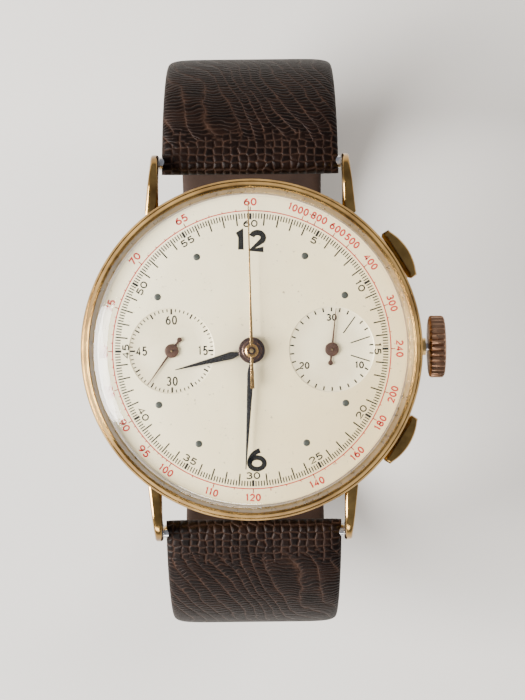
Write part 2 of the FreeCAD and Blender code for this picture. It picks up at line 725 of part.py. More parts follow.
def bridges():
    far = D.plate_radius + 1
    bridge(
        "train_bridge",
        [(-far, UNIT * -4.7)]
        + spots((-6.1, -4.7), (-5.0, -2.2), (1.7, -2.2), (1.7, 1.6), (-1.4, 2.9))
        + [(UNIT * -2.9, far), (-far, far)],
        (THIRD, ESCAPE),
        (
            (CENTRE, 0.56),
            (SECONDS, 0.45),
            *((at, 0.5) for at in BRIDGE_SCREWS["train"]),
        ),
    )
    up_in, up_side, up_far, up_top = pusher_notch(1)
    down_in, down_side, down_far, down_top = pusher_notch(-1)
    outline = [(UNIT * -2.7, far), *spots((-1.2, 3.1), (2.0, 1.8), (2.0, -2.2)), (UNIT * 1.0, -far)]
    outline += [(far * 0.5, -far), down_top, down_in, down_side, down_far, (far, -2.2), (far, -1.9)]
    outline += [(UNIT * 9.7, -1.9), (UNIT * 9.7, 1.9), (far, 1.9), (far, 2.2)]
    outline += [up_far, up_side, up_in, up_top, (far * 0.5, far)]
    bridge(
        "barrel_bridge",
        outline,
        (),
        (
            (BARREL, 0.63),
            (MINUTES, 0.35),
            *((at, 0.5) for at in BRIDGE_SCREWS["barrel"]),
        ),
    )
    bridge(
        "balance_cock",
        [(UNIT * -7.6, -far), (UNIT * -1.2, -far), *spots((-2.9, -6.9), (-5.0, -6.9))],
        (BALANCE,),
        tuple((at, 0.5) for at in BRIDGE_SCREWS["cock"]),
    )
    pallet = new_body("pallet_bridge")
    across = direction(ESCAPE, PALLET) - 90
    foot, free_end = polar(UNIT * 2.6, across, PALLET), polar(UNIT * 0.8, across + 180, PALLET)
    sides = [polar(Size(0.7), across + 90, foot), polar(Size(0.7), across - 90, foot)]
    sides += [polar(Size(0.7), across - 90, free_end), polar(Size(0.7), across + 90, free_end)]
    pad(pallet, lambda s: draw(s, sides), D.plate_level - 0.95, 0.3)
    pad_disc(pallet, 0.6, D.plate_level - 0.95, 0.95, foot)
    pocket_disc(pallet, 0.12, D.plate_level - 1.0, 1.0, PALLET)
    keep("pallet_bridge", pallet)

    deck = new_body("chronograph_bridge")
    arms = spots((-1.3, 0.9), (-1.3, -1.0), (-1.2, -4.3), (-0.9, -5.9), (0.7, -5.9), (1.0, -4.3), (1.5, -1.3))
    arms += spots((8.4, -1.2), (13.4, -4.6), (15.2, -4.3), (15.4, -2.9), (10.2, 0.9), (8.6, 1.2), (1.6, 1.2))
    arms += spots((0.7, 7.7), (0.2, 8.9), (-1.0, 8.9), (-1.2, 7.7))
    pad(deck, lambda s: draw(s, arms), D.deck_level, D.deck_height)
    for at in DECK_PILLARS:
        pad_disc(deck, 0.55, D.deck_level, D.bridge_level - D.deck_level, at)
    for at in (CENTRE, MINUTES):
        pocket_disc(deck, D.jewel_radius, D.deck_level, D.deck_height, at)
    keep("chronograph_bridge", deck)


DECK_PILLARS = spots((-0.1, -5.0), (14.3, -3.7), (-0.5, 8.1))
SCREW_INSET = 1.6
SCREW_HEADINGS = {"train": (112, 172, 192), "barrel": (94, 60, -52, -76), "cock": (247,)}
BRIDGE_SCREWS = {
    name: tuple(polar(D.plate_radius - SCREW_INSET, heading) for heading in headings)
    for name, headings in SCREW_HEADINGS.items()
}


def fasteners():
    screws = new_body("bridge_screws")
    # a cheese head on the bridge with its slot, and a plain shank down into the plate's rim
    for at in [at for places in BRIDGE_SCREWS.values() for at in places]:
        pad_disc(screws, 0.46, D.bridge_level, D.bridge_height, at)
        pad_disc(screws, 0.85, D.bridge_level - 0.35, 0.35, at)

        def slot(sketch, at=at):
            x, y = at
            draw(sketch, [(x - 1, y - 0.1), (x + 1, y - 0.1), (x + 1, y + 0.1), (x - 1, y + 0.1)])

        pad(screws, slot, D.bridge_level - 0.35, 0.15, kind="Pocket")
    keep("bridge_screws", screws)

    rings = new_body("jewels")

    def seat(sketch, at):
        draw_circle(sketch, D.jewel_radius, at)
        draw_circle(sketch, D.jewel_bore, at)

    def row_of(places):
        return lambda s: [seat(s, at) for at in places]

    pad(rings, row_of(PLATE_PIVOTS.values()), D.plate_level + 0.2, D.jewel_height)
    pad(rings, row_of((THIRD, ESCAPE, BALANCE)), D.bridge_level, D.jewel_height)
    pad(rings, row_of((CENTRE, MINUTES)), D.deck_level, D.deck_height)
    keep("jewels", rings)


# ---------------------------------------------------------------- chronograph works
def heart(sketch, small, large):
    """A heart cam: its radius grows evenly from small to large over each half turn, from +X."""
    count = 24
    shares = [abs(1 - abs(2 * k / count - 1)) for k in range(count)]
    angles = [2 * math.pi * k / count for k in range(count)]
    radii = [small + (large - small) * share for share in shares]
    draw_many(sketch, [(r * math.cos(a), r * math.sin(a)) for r, a in zip(radii, angles)])


def pusher_tab(sign):
    """The corners of the upright tab that a pusher's shaft meets, on the lever behind it."""
    heading = D.pusher_angle * sign
    along = heading + 90 * sign
    inner = polar(D.plate_radius - TAB_INSET, heading)
    outer = polar(D.plate_radius - TAB_INSET + TAB_THICK, heading)
    return (
        polar(TAB_HALF, along, inner),
        polar(TAB_HALF, along + 180, inner),
        polar(TAB_HALF, along + 180, outer),
        polar(TAB_HALF, along, outer),
    )


TAB_INSET, TAB_THICK, TAB_HALF = Size(1.45), Size(0.25), Size(1.1)


def chronograph_works():
    level = DECK_TOP + 0.27
    runner = new_body("chronograph_runner")
    between = direction(COUPLING_MESHED, SECONDS) - direction(COUPLING_MESHED, CENTRE)
    offset = (between * COUPLING_TEETH / 360.0) % 1.0
    phase = mesh_phase(DRIVE_TEETH, direction(CENTRE, COUPLING_MESHED)) - offset * 360.0 / DRIVE_TEETH
    gear_layer(runner, DRIVE_TEETH, CHRONO_MODULE, phase, level, 0.12, None, (1.1, 2.4, 5, 0.4))
    pad(runner, lambda s: heart(s, 0.4, 0.9), DECK_TOP + 0.05, 0.17)
    pad_disc(runner, 0.4, DECK_TOP + 0.02, D.bridge_level - DECK_TOP - 0.04)
    pad_disc(runner, 0.1, D.deck_level, 1.2)
    pad_disc(runner, 0.22, DECK_TOP + 0.2, DIAL_TOP + 1.85 - DECK_TOP - 0.2)
    # the finger that moves the recording wheels one tooth a turn
    finger = spots((0, -0.1), (1.25, -0.06), (1.25, 0.06), (0, 0.1))
    pad(runner, lambda s: draw(s, finger), level + 0.18, 0.12)
    keep("chronograph_runner", runner)

    record = new_body("minute_recorder")
    gear_layer(record, RECORD_TEETH, RECORD_MODULE, 0, level + 0.18, 0.12, None, (0.7, 1.45, 4, 0.35))
    pad(record, lambda s: heart(s, 0.35, 0.75), DECK_TOP + 0.05, 0.17)
    pad_disc(record, 0.3, DECK_TOP + 0.02, D.bridge_level - DECK_TOP - 0.04)
    pad_disc(record, 0.1, D.deck_level, DIAL_TOP + 0.6 - D.deck_level)
    pad_disc(record, 0.2, DECK_TOP + 0.2, DIAL_LEVEL - DECK_TOP - 0.3)
    keep("minute_recorder", place(record, MINUTES[0], MINUTES[1]))

    idler = new_body("recording_idler")
    phase = mesh_phase(IDLER_TEETH, 0)
    gear_layer(idler, IDLER_TEETH, RECORD_MODULE, phase, level + 0.18, 0.12, 0.33, (0.8, 1.9, 4, 0.4))
    keep("recording_idler", place(idler, IDLER[0], IDLER[1]))

    lever = new_body("clutch_lever")
    reach = float(COUPLING_REACH)
    swing = direction(SECONDS, COUPLING)
    blade = [(-1.2, -1.0), (0.4, -1.1), (reach + 0.8, -0.6), (reach + 0.8, 0.6), (0.4, 1.1), (-1.2, 1.0)]
    pad(lever, lambda s: draw(s, blade), D.bridge_level - 0.45, 0.25)
    pad_disc(lever, 0.28, level - 0.08, D.bridge_level - 0.3 - level, (reach, 0))
    pocket_disc(lever, 0.6, D.bridge_level - 0.5, 0.4)
    keep("clutch_lever", place(lever, SECONDS[0], SECONDS[1], 0, (0, 0, 1), swing))

    wheel = new_body("coupling_wheel")
    toward = direction(COUPLING, SECONDS)
    gear_layer(wheel, COUPLING_TEETH, CHRONO_MODULE, toward, level, 0.12, 0.32, (0.7, 1.35, 4, 0.35))
    keep("coupling_wheel", place(wheel, COUPLING[0], COUPLING[1]))

    column = new_body("column_wheel")

    def ratchet(sketch):
        points = []
        for k in range(12):
            for share, radius in ((0.0, 1.75), (0.08, 2.05), (0.9, 1.75)):
                angle = 2 * math.pi * (k + share) / 12
                reach = radius * UNIT.value
                points.append((reach * math.cos(angle), reach * math.sin(angle)))
        draw_many(sketch, points)

    def columns(sketch):
        for k in range(6):
            corners = ((0.95, -13), (1.6, -13), (1.7, 0), (1.6, 13), (0.95, 13))
            place_at = [(r * UNIT.value, math.radians(60 * k + a)) for r, a in corners]
            draw_many(sketch, [(r * math.cos(a), r * math.sin(a)) for r, a in place_at])

    pad(column, ratchet, D.bridge_level - 0.35, 0.3)
    pad(column, columns, DECK_TOP + 0.1, D.bridge_level - 0.3 - DECK_TOP - 0.1)
    pocket_disc(column, 0.4, D.deck_level, 2.0)
    keep("column_wheel", place(column, COLUMN[0], COLUMN[1]))

    bars = new_body("operating_lever")
    a, b, c, d = pusher_tab(1)
    blade = spots((4.55, 13.1), (4.8, 12.3), (7.9, 10.0), (9.0, 9.8), (10.9, 8.0))
    blade += [b, c, d] + spots((10.6, 10.7), (9.4, 12.0), (8.4, 11.9))
    pad(bars, lambda s: draw(s, blade), DECK_TOP + 0.35, 0.3)
    pad(bars, lambda s: draw(s, [a, b, c, d]), DECK_TOP + 0.35, D.plate_level - 0.3 - DECK_TOP - 0.35)
    pocket_disc(bars, 0.42, DECK_TOP + 0.3, 0.5, LEVER_PIVOT)
    keep("operating_lever", bars)

    hammer = new_body("reset_hammer")
    a, b, c, d = pusher_tab(-1)
    arms = spots((2.15, 0.55), (2.15, -0.6), (4.6, -5.4), (5.4, -9.3), (7.2, -9.9), (9.4, -9.3))
    arms += [a, d, c, b] + spots((9.2, -6.6), (9.0, -5.6), (11.9, -1.3), (11.9, 0.5), (10.95, 0.5))
    arms += spots((10.95, -0.6), (7.5, -4.8), (6.2, -5.1), (3.1, -0.4), (3.1, 0.55))
    pad(hammer, lambda s: draw(s, arms), DECK_TOP + 0.05, 0.17)
    pad(hammer, lambda s: draw(s, [a, d, c, b]), DECK_TOP + 0.05, D.plate_level - 0.3 - DECK_TOP - 0.05)
    pocket_disc(hammer, 0.42, D.deck_level, 2.0, HAMMER_PIVOT)
    keep("reset_hammer", hammer)

    posts = new_body("chronograph_posts")
    # steps that the levers, the column wheel, the idler and the winding wheels turn on
    for at, radius, bottom in (
        (LEVER_PIVOT, 0.38, DECK_TOP + 0.15),
        (HAMMER_PIVOT, 0.38, DECK_TOP),
        (COLUMN, 0.36, DECK_TOP),
        (IDLER, 0.3, DECK_TOP + 0.35),
        (CARRY, 0.4, DECK_TOP + 0.55),
        (CROWN_WHEEL, 0.4, DECK_TOP + 0.55),
        (CLICK, 0.3, DECK_TOP + 0.55),
    ):
        pad_disc(posts, radius, bottom, D.bridge_level - bottom, at)
    keep("chronograph_posts", posts)


# ---------------------------------------------------------------- winding works
def winding_works():
    level, height = D.bridge_level - 0.4, 0.35
    ratchet = new_body("ratchet_wheel")
    phase = mesh_phase(RATCHET_TEETH, direction(BARREL, CARRY))
    gear_layer(ratchet, RATCHET_TEETH, WINDING_MODULE, phase, level, height, 0.6)
    keep("ratchet_wheel", place(ratchet, BARREL[0], BARREL[1]))

    carry = new_body("transmission_wheel")
    gear_layer(carry, CARRY_TEETH, WINDING_MODULE, direction(CARRY, BARREL), level, height, 0.43)
    keep("transmission_wheel", place(carry, CARRY[0], CARRY[1]))

    crown = new_body("crown_wheel")
    carried = direction(CARRY, CROWN_WHEEL) - direction(CARRY, BARREL)
    shift = (carried * CARRY_TEETH / 360.0) % 1.0
    phase = direction(CROWN_WHEEL, CARRY) + (0.5 - shift) * 360.0 / CROWN_TEETH * -1
    gear_layer(crown, CROWN_TEETH, WINDING_MODULE, phase, level, height, 0.43)
    keep("crown_wheel", place(crown, CROWN_WHEEL[0], CROWN_WHEEL[1]))

    click = new_body("click")
    tip = polar(centres(RATCHET_TEETH, 0, WINDING_MODULE) + 0.2, direction(BARREL, CLICK) - 4, BARREL)
    x, y = CLICK
    blade = [(x - 0.5, y - 0.4), (x + 0.4, y - 0.6), tip, (tip[0] + 0.25, tip[1] + 0.3)]
    blade += [(x + 0.6, y + 0.6), (x - 0.5, y + 0.6)]
    pad(click, lambda s: draw(s, blade), level + 0.02, height - 0.05)
    pocket_disc(click, 0.33, level - 0.1, 1.0, CLICK)
    keep("click", click)

    def along_stem(label, teeth, module, start, length, bore):
        body = new_body(label)
        gear_layer(body, teeth, module, 90, 0, length, bore)
        body.Placement = FreeCAD.Placement(V(), FreeCAD.Rotation(V(0, 1, 0), 90))
        holder = DOC.addObject("Part::Compound", label + "_on_stem")
        holder.Links = [body]
        keep(label, place(holder, start, 0, D.stem_level))

    along_stem("winding_pinion", 20, WINDING_MODULE, UNIT * 12.75, UNIT * 1.35, D.stem_radius + D.fit_gap)
    along_stem("sliding_pinion", 14, WINDING_MODULE, UNIT * 10.9, UNIT * 1.0, D.stem_radius + D.fit_gap)

    start, groove_at = UNIT * 10.3, UNIT * 12.2
    stem = rod("stem_rod", D.stem_radius, CROWN_START + CROWN_SOCKET - start, start, 0, D.stem_level, 0)
    groove = rod("stem_groove", D.stem_radius + 0.4, UNIT * 0.4, groove_at, 0, D.stem_level, 0)
    core = rod("stem_core", D.stem_radius * 0.6, UNIT * 0.4, groove_at, 0, D.stem_level, 0)
    keep("winding_stem", fuse("winding_stem", cut("stem_cut", stem, groove), core))


CROWN_START = BAND + D.crown_gap
CROWN_SOCKET = 0.6
CROWN_FLUTES = 30


def crown_and_pushers():
    crown = new_body("crown_blank")
    edge, face = 0.35, 0.2
    profile = [
        (0, 0),
        (D.crown_radius - edge, 0),
        (D.crown_radius, edge),
        (D.crown_radius, D.crown_length - edge),
        (D.crown_radius - edge, D.crown_length, 18),
        (D.pole_radius, D.crown_length + face),
        (0, D.crown_length + face),
    ]
    turn(crown, profile)
    pocket_disc(crown, D.stem_radius, 0, CROWN_SOCKET)
    ring = D.stem_radius + D.fit_gap + D.tube_wall

    def gap(sketch):
        draw_circle(sketch, ring + 0.4)
        draw_circle(sketch, D.stem_radius)

    pad(crown, gap, 0, 0.5, kind="Pocket")
    groove = pad(crown, flute, -0.1, D.crown_length + 0.5, kind="Pocket")
    pattern = crown.newObject("PartDesign::PolarPattern", "PolarPattern")
    pattern.Originals = [groove]
    pattern.Axis = (next(f for f in crown.Origin.OriginFeatures if f.Role == "Z_Axis"), [""])
    pattern.Angle = 360
    pattern.Occurrences = CROWN_FLUTES
    crown.Tip = pattern
    crown.Placement = FreeCAD.Placement(V(), FreeCAD.Rotation(V(0, 1, 0), 90))
    holder = DOC.addObject("Part::Compound", "crown_holder")
    holder.Links = [crown]
    keep("crown", place(holder, CROWN_START, 0, D.stem_level))

    tubes = []
    bore = D.pusher_radius + D.fit_gap
    for name, heading in (("start", D.pusher_angle), ("reset", -D.pusher_angle)):
        x, y = polar(CASE_BORE + 0.05, heading)
        length = BAND - CASE_BORE + 0.05
        wall = rod(name + "_tube_wall", bore + D.tube_wall, length, x, y, D.stem_level, heading)
        x, y = polar(CASE_BORE - 0.4, heading)
        hole = rod(name + "_tube_bore", bore, BAND - CASE_BORE + 1, x, y, D.stem_level, heading)
        tubes.append(cut(name + "_tube", wall, hole))
    length = CROWN_START - 0.25 - CASE_BORE
    wall = rod("crown_tube_wall", ring, length, CASE_BORE, 0, D.stem_level, 0)
    hole = rod("crown_tube_bore", D.stem_radius + D.fit_gap, length + 3, CASE_BORE - 1, 0, D.stem_level, 0)
    tubes.append(cut("crown_tube", wall, hole))
    keep("case_tubes", group("case_tubes", *tubes))

    for label, heading in (("start_pusher", D.pusher_angle), ("reset_pusher", -D.pusher_angle)):
        head = new_body(label + "_head")
        near = BAND + D.pusher_travel + D.pusher_gap
        far = near + D.pusher_thickness
        half = D.pusher_half_length
        outline = [(near, -half * 0.8), (near + 0.55, -half, 1.2), (far - 0.1, -half * 0.62, 9.0)]
        outline += [(far - 0.1, half * 0.62, 1.2), (near + 0.55, half), (near, half * 0.8)]
        base = D.stem_level - D.pusher_height / 2
        pad(head, lambda s, outline=outline: draw(s, outline), base, D.pusher_height)
        head = place(head, 0, 0, 0, (0, 0, 1), heading)
        start = D.plate_radius - 1.15
        x, y = polar(start, heading)
        shaft = rod(label + "_shaft", D.pusher_radius, near + 0.2 - start, x, y, D.stem_level, heading)
        keep(label, fuse(label, head, shaft))


def flute(sketch):
    """One groove of the crown's edge, as a narrow triangle at the rim."""
    deep, half = D.crown_radius - 0.22, 0.2
    draw(sketch, [(deep, 0), (D.crown_radius + 0.2, half * -1), (D.crown_radius + 0.2, half)])


# ---------------------------------------------------------------- case
def case_parts():
    band = new_body("band_blank")
    lip = D.band_bottom + 0.95
    turn(
        band,
        [
            (CASE_BORE + 0.75, D.band_bottom),
            (BAND - 0.15, D.band_bottom),
            (BAND, D.band_bottom + 0.3),
            (BAND, D.band_top),
            (NECK, D.band_top),
            (NECK, NECK_TOP),
            (DIAL_SEAT, NECK_TOP),
            (DIAL_SEAT, DIAL_LEVEL),
            (CASE_BORE, DIAL_LEVEL),
            (CASE_BORE, lip),
            (CASE_BORE + 0.75, lip),
        ],
    )
    bore = D.pusher_radius + D.fit_gap + D.tube_wall
    holes = [
        rod(f"band_hole_{k}", size, 4, *polar(CASE_BORE - 0.6, heading), D.stem_level, heading)
        for k, (heading, size) in enumerate(
            ((D.pusher_angle, bore), (-D.pusher_angle, bore), (0, D.stem_radius + D.fit_gap + D.tube_wall))
        )
    ]
    keep("case_middle", cut("case_middle", band, *holes))

    back = new_body("case_back")
    turn(
        back,
        [
            (0, 0),
            (CASE_BORE - 2.6, 0),
            (BAND - 0.9, 0.3, 2.5),
            (BAND - 0.2, D.band_bottom - 0.05),
            (CASE_BORE + 0.75 - D.fit_gap, D.band_bottom - 0.05),
            (CASE_BORE + 0.75 - D.fit_gap, lip - 0.1),
            (CASE_BORE + 0.1, lip - 0.1),
            (CASE_BORE + 0.1, D.back_height + 0.12),
            (CASE_BORE - 0.4, D.back_height),
            (0, D.back_height),
        ],
    )
    keep("case_back", back)

    bezel = new_body("bezel")
    inner = DIAL_RADIUS + D.bezel_opening
    turn(
        bezel,
        [
            (NECK + D.fit_gap, D.band_top),
            (BEZEL, D.band_top),
            (BEZEL, D.band_top + 0.55, 1.35),
            (BEZEL - 0.4, BEZEL_TOP - 0.25, 0.7),
            (inner + 0.1, BEZEL_TOP),
            (inner, BEZEL_TOP - 0.1),
            (inner, NECK_TOP + D.fit_gap),
            (NECK + D.fit_gap, NECK_TOP + D.fit_gap),
        ],
    )
    keep("bezel", bezel)

    crystal = new_body("crystal")
    out = inner - D.fit_gap
    dome = BEZEL_TOP + D.crystal_rise
    turn(
        crystal,
        [
            (out, NECK_TOP + D.fit_gap),
            (out, BEZEL_TOP - 0.1, 3.0),
            (out - 1.75, BEZEL_TOP + 1.6, 140.0),
            (D.pole_radius, dome),
            (0, dome),
            (0, dome - D.crystal_wall),
            (D.pole_radius, dome - D.crystal_wall, -140.0),
            (out - 2 * D.crystal_wall, BEZEL_TOP + 0.85, -2.2),
            (out - D.crystal_wall, NECK_TOP + D.fit_gap),
        ],
    )
    keep("crystal", crystal)


def lug_parts():
    lugs = []
    level = D.bar_level
    outside = D.lug_gap / 2 + D.lug_width
    inside = root(BAND * BAND - outside * outside) - 1
    side = [
        (BAR_Y + D.lug_end_radius, level, -D.lug_end_radius),
        (BAR_Y, level - D.lug_end_radius, -D.lug_end_radius),
        (BAR_Y - D.lug_end_radius, level, 3.2),
        (BAND - 0.4, level + 2.7),
        (inside, level + 2.7),
        (inside, level + 4.9),
        (BAND - 0.4, level + 4.9, -4.6),
    ]
    wall = disc_outline("lug_root_cut", BAND, 0, 9)
    for k, (x_sign, y_sign) in enumerate(((1, 1), (-1, 1), (1, -1), (-1, -1))):
        blank = new_body(f"lug_{k}")
        sketch = plane_sketch(blank, "YZ_Plane")
        flip = side if y_sign > 0 else [(-v[0], v[1], *(-r for r in v[2:])) for v in side]
        draw(sketch, flip)
        feature(blank, "Pad", sketch, Length=D.lug_width, Midplane=True)
        place(blank, (D.lug_gap + D.lug_width) / 2 * x_sign)
        bore = cross_bore(f"lug_bore_{k}", D.bar_tip_radius, BAR_Y * y_sign, D.bar_level)
        lugs.append(cut(f"lug_{k}_cut", blank, wall, bore))
    keep("lugs", group("lugs", *lugs))

    bars = []
    for k, y_sign in enumerate((1, -1)):
        length = D.lug_gap - 0.1
        tube = rod(f"bar_tube_{k}", D.bar_radius, length, -length / 2, BAR_Y * y_sign, D.bar_level, 0)
        length = D.lug_gap + 1.4
        tip = rod(f"bar_tip_{k}", D.bar_tip_radius, length, -length / 2, BAR_Y * y_sign, D.bar_level, 0)
        bars.append(fuse(f"spring_bar_{k}", tube, tip))
    keep("spring_bars", group("spring_bars", *bars))


# ---------------------------------------------------------------- dial and hands
def dial():
    face = new_body("dial")
    pad_disc(face, DIAL_RADIUS, DIAL_LEVEL, D.dial_height)
    pocket_disc(face, 1.0, DIAL_LEVEL, 1.0)
    for at in (SECONDS, MINUTES):
        pocket_disc(face, D.register_radius, DIAL_TOP - D.register_depth, 1.0, at)
        pocket_disc(face, 0.3, DIAL_LEVEL, 1.0, at)
    for at in DIAL_FEET:
        pad_disc(face, 0.3, D.plate_level + 0.8, DIAL_LEVEL - D.plate_level - 0.75, at)
    keep("dial", face)


def hand(label, outline, level, height, boss, boss_height, bore, at=CENTRE, heading=90.0):
    """A flat hand drawn along +X, with a round boss, turned to its heading."""
    blade = new_body(label)
    pad(blade, lambda s: draw(s, outline), level, height)
    pad_disc(blade, boss, level, boss_height)
    pocket_disc(blade, bore, level, 2.0)
    return keep(label, place(blade, at[0], at[1], 0, (0, 0, 1), heading))


def hands():
    hour, minute, sweep = DIAL_RADIUS * 0.5, DIAL_RADIUS * 0.77, DIAL_RADIUS - 0.9
    leaf = [(0.6, 0.16), (1.8, 0.2), (2.6, 0.42), (3.6, 0.36), (hour, 0.05)]
    hand("hour_hand", mirrored(leaf), DIAL_TOP + 0.45, 0.15, 1.5, 0.25, Size(0.91), heading=193.8)
    leaf = [(0.6, 0.3), (4.6, 0.3), (minute, 0.05)]
    hand("minute_hand", mirrored(leaf), DIAL_TOP + 0.85, 0.15, 1.15, 0.3, Size(0.63), heading=-93.4)
    needle = [(-4.35, 0.22), (-0.4, 0.14), (0.4, 0.16), (sweep, 0.06)]
    hand("chronograph_seconds_hand", mirrored(needle), DIAL_TOP + 1.35, 0.12, 0.75, 0.4, Size(0.23), heading=90.8)
    needle = [(-1.75, 0.12), (-0.5, 0.1), (0.5, 0.1), (D.register_radius - 0.2, 0.05)]
    hand("small_seconds_hand", mirrored(needle), DIAL_TOP + 0.1, 0.1, 0.75, 0.2, Size(0.11), SECONDS, -125.7)
    hand("minute_recorder_hand", mirrored(needle), DIAL_TOP + 0.1, 0.1, 0.75, 0.2, Size(0.11), MINUTES, 83.6)


def mirrored(edge):
    """A hand's outline from its upper edge, as (distance from the hub, half width) points."""
    return [(x, -half) for x, half in edge] + edge[::-1]


# ---------------------------------------------------------------- strap
LAYER = D.strap_thick + D.layer_gap
FLAT_Y = (
    BAR_Y
    + D.shoulder_bend * (1 - sine(D.lay_angle))
    + D.side_bend * (sine(D.turn_angle) - 1)
    - D.foot_bend * sine(D.turn_angle)
)
FLAT_Z = (
    D.bar_level
    - D.shoulder_bend * cosine(D.lay_angle)
    + D.side_bend * cosine(D.turn_angle)
    - D.foot_bend * (1 + cosine(D.turn_angle))
)
BUCKLE_BAR_Y = D.buckle_inset - FLAT_Y
BUCKLE_BAR_Z = FLAT_Z + 0.3
KEEPER_LOW = FLAT_Z - LAYER - D.strap_thick / 2 - D.keeper_gap - D.keeper_wall
RIM_RADIUS = D.buckle_wall / 2 + 0.1
RIM_LIFT = Size(0.2)


def strap_side(offset, drop):
    """The path of one strap half from its spring bar to the flat, at a distance outside its middle line.
    drop lowers everything past the widest point, for the half that runs outside the other."""
    y, z, before = BAR_Y, D.bar_level, D.lay_angle
    points = [(y + offset * sine(before), z + offset * cosine(before))]
    stops = ((Size(90), D.shoulder_bend, drop), (D.turn_angle, D.side_bend, 0), (Size(180), D.foot_bend, 0))
    for angle, bend, lower in stops:
        y = y + bend * (sine(angle) - sine(before))
        z = z - bend * (cosine(before) - cosine(angle))
        points.append((y + offset * sine(angle), z + offset * cosine(angle)))
        if lower:
            z = z - lower
            points.append((y + offset * sine(angle), z + offset * cosine(angle)))
        before = angle
    return points


def strap_blank(label, side, outline, top_half, low_half, turn_z):
    """A padded strip with its outline in the YZ plane, narrowed from the lugs down to the buckle."""
    strip = new_body(label + "_strip")
    sketch = plane_sketch(strip, "YZ_Plane")
    draw(sketch, [(v[0] * side, v[1], *(r * side for r in v[2:])) for v in outline])
    feature(strip, "Pad", sketch, Length=top_half * 2, Midplane=True)
    eye_radius = D.strap_thick / 2 + D.strap_eye_wall
    eye = rod(label + "_eye", eye_radius, top_half * 2, -top_half, BAR_Y * side, D.bar_level, 0)
    taper = new_body(label + "_taper")
    sketch = plane_sketch(taper, "XZ_Plane")
    high, deep = Size(8), FLAT_Z - 12
    start = D.bar_level
    shape = [(-top_half, high), (-top_half, start), (-low_half, turn_z), (-low_half, deep)]
    shape += [(low_half, deep), (low_half, turn_z), (top_half, start), (top_half, high)]
    draw(sketch, shape)
    feature(taper, "Pad", sketch, Length=Size(140), Midplane=True)
    return common(label + "_tapered", fuse(label + "_whole", strip, eye), taper)


def strap_parts():
    half = D.strap_thick / 2
    top_half = D.lug_gap / 2 - D.strap_side_gap
    low_half = D.buckle_width / 2
    turn_z = FLAT_Z + 4
    shoulder, sides, foot = D.shoulder_bend, D.side_bend, D.foot_bend

    # the short half, on the 12 o'clock side, ends in an eye around the buckle's bar
    top, wide, turned, flat = strap_side(half, 0)
    outline = [(*top, -(shoulder + half)), (*wide, -(sides + half)), (*turned, -(foot + half)), flat]
    top, wide, turned, flat = strap_side(-half, 0)
    outline += [(BUCKLE_BAR_Y, FLAT_Z - half), (BUCKLE_BAR_Y, FLAT_Z + half), (*flat, foot - half)]
    outline += [(*turned, sides - half), (*wide, shoulder - half), top]
    blank = strap_blank("short", 1, outline, top_half, low_half, turn_z)
    end_eye = rod("short_end_eye", half + 0.3, low_half * 2, -low_half, BUCKLE_BAR_Y, BUCKLE_BAR_Z, 0)
    bore = cross_bore("short_bore", D.bar_radius, BAR_Y, D.bar_level)
    end_bore = cross_bore("short_end_bore", D.buckle_bar_radius, BUCKLE_BAR_Y, BUCKLE_BAR_Z)
    slot = primitive("Box", "tongue_slot", Length=3.0, Width=6.4, Height=4.0)
    place(slot, -1.5, BUCKLE_BAR_Y - 4.0, BUCKLE_BAR_Z - 2.2)
    keep("strap_short", cut("strap_short", fuse("short_with_eye", blank, end_eye), bore, end_bore, slot))

    # the long half, on the 6 o'clock side, runs under the buckle's bar and on outside the short half
    tail = D.turn_angle - D.tail_angle
    low = FLAT_Z - LAYER
    far_foot, far_side = foot + LAYER, sides + LAYER
    foot_y, foot_z = -FLAT_Y, FLAT_Z + foot
    side_y = foot_y + (sides - foot) * sine(D.turn_angle)
    side_z = foot_z - (sides - foot) * cosine(D.turn_angle)

    def around(centre_y, centre_z, radius, angle):
        """A point at radius from an arc's centre, for the mirrored heading on the 12 o'clock side."""
        return (centre_y - radius * sine(angle), centre_z + radius * cosine(angle))

    top, wide, lowered, turned, flat = strap_side(half, LAYER)
    outline = [(*top, -(shoulder + half)), wide, (*lowered, -(sides + half)), (*turned, -(foot + half)), flat]
    top, wide, lowered, turned, flat = strap_side(-half, LAYER)
    outline += [
        (-FLAT_Y, low - half, -(far_foot + half)),
        (*around(foot_y, foot_z, far_foot + half, D.turn_angle), -(far_side + half)),
        around(side_y, side_z, far_side + half, tail),
        (*around(side_y, side_z, far_side - half, tail), far_side - half),
        (*around(foot_y, foot_z, far_foot - half, D.turn_angle), far_foot - half),
        (-FLAT_Y, low + half),
        (*flat, foot - half),
        (*turned, sides - half),
        lowered,
        (*wide, shoulder - half),
        top,
    ]
    blank = strap_blank("long", -1, outline, top_half, low_half, turn_z)
    bore = cross_bore("long_bore", D.bar_radius, -BAR_Y, D.bar_level)
    slot_width, slot_end = D.tongue_width + 0.5, D.buckle_reach - 0.9
    slot = primitive("Box", "hole_slot", Length=slot_width, Width=slot_end - 1.4, Height=6.0)
    place(slot, -slot_width / 2, BUCKLE_BAR_Y - slot_end, low - 3)
    holes = [slot]
    for k in range(2):
        hole = primitive("Cylinder", f"strap_hole_{k}", Radius=0.8, Height=3)
        holes.append(place(hole, 0, BUCKLE_BAR_Y + 6.8 + 6 * k, low - 1.5))
    keep("strap_long", cut("strap_long", blank, bore, *holes))


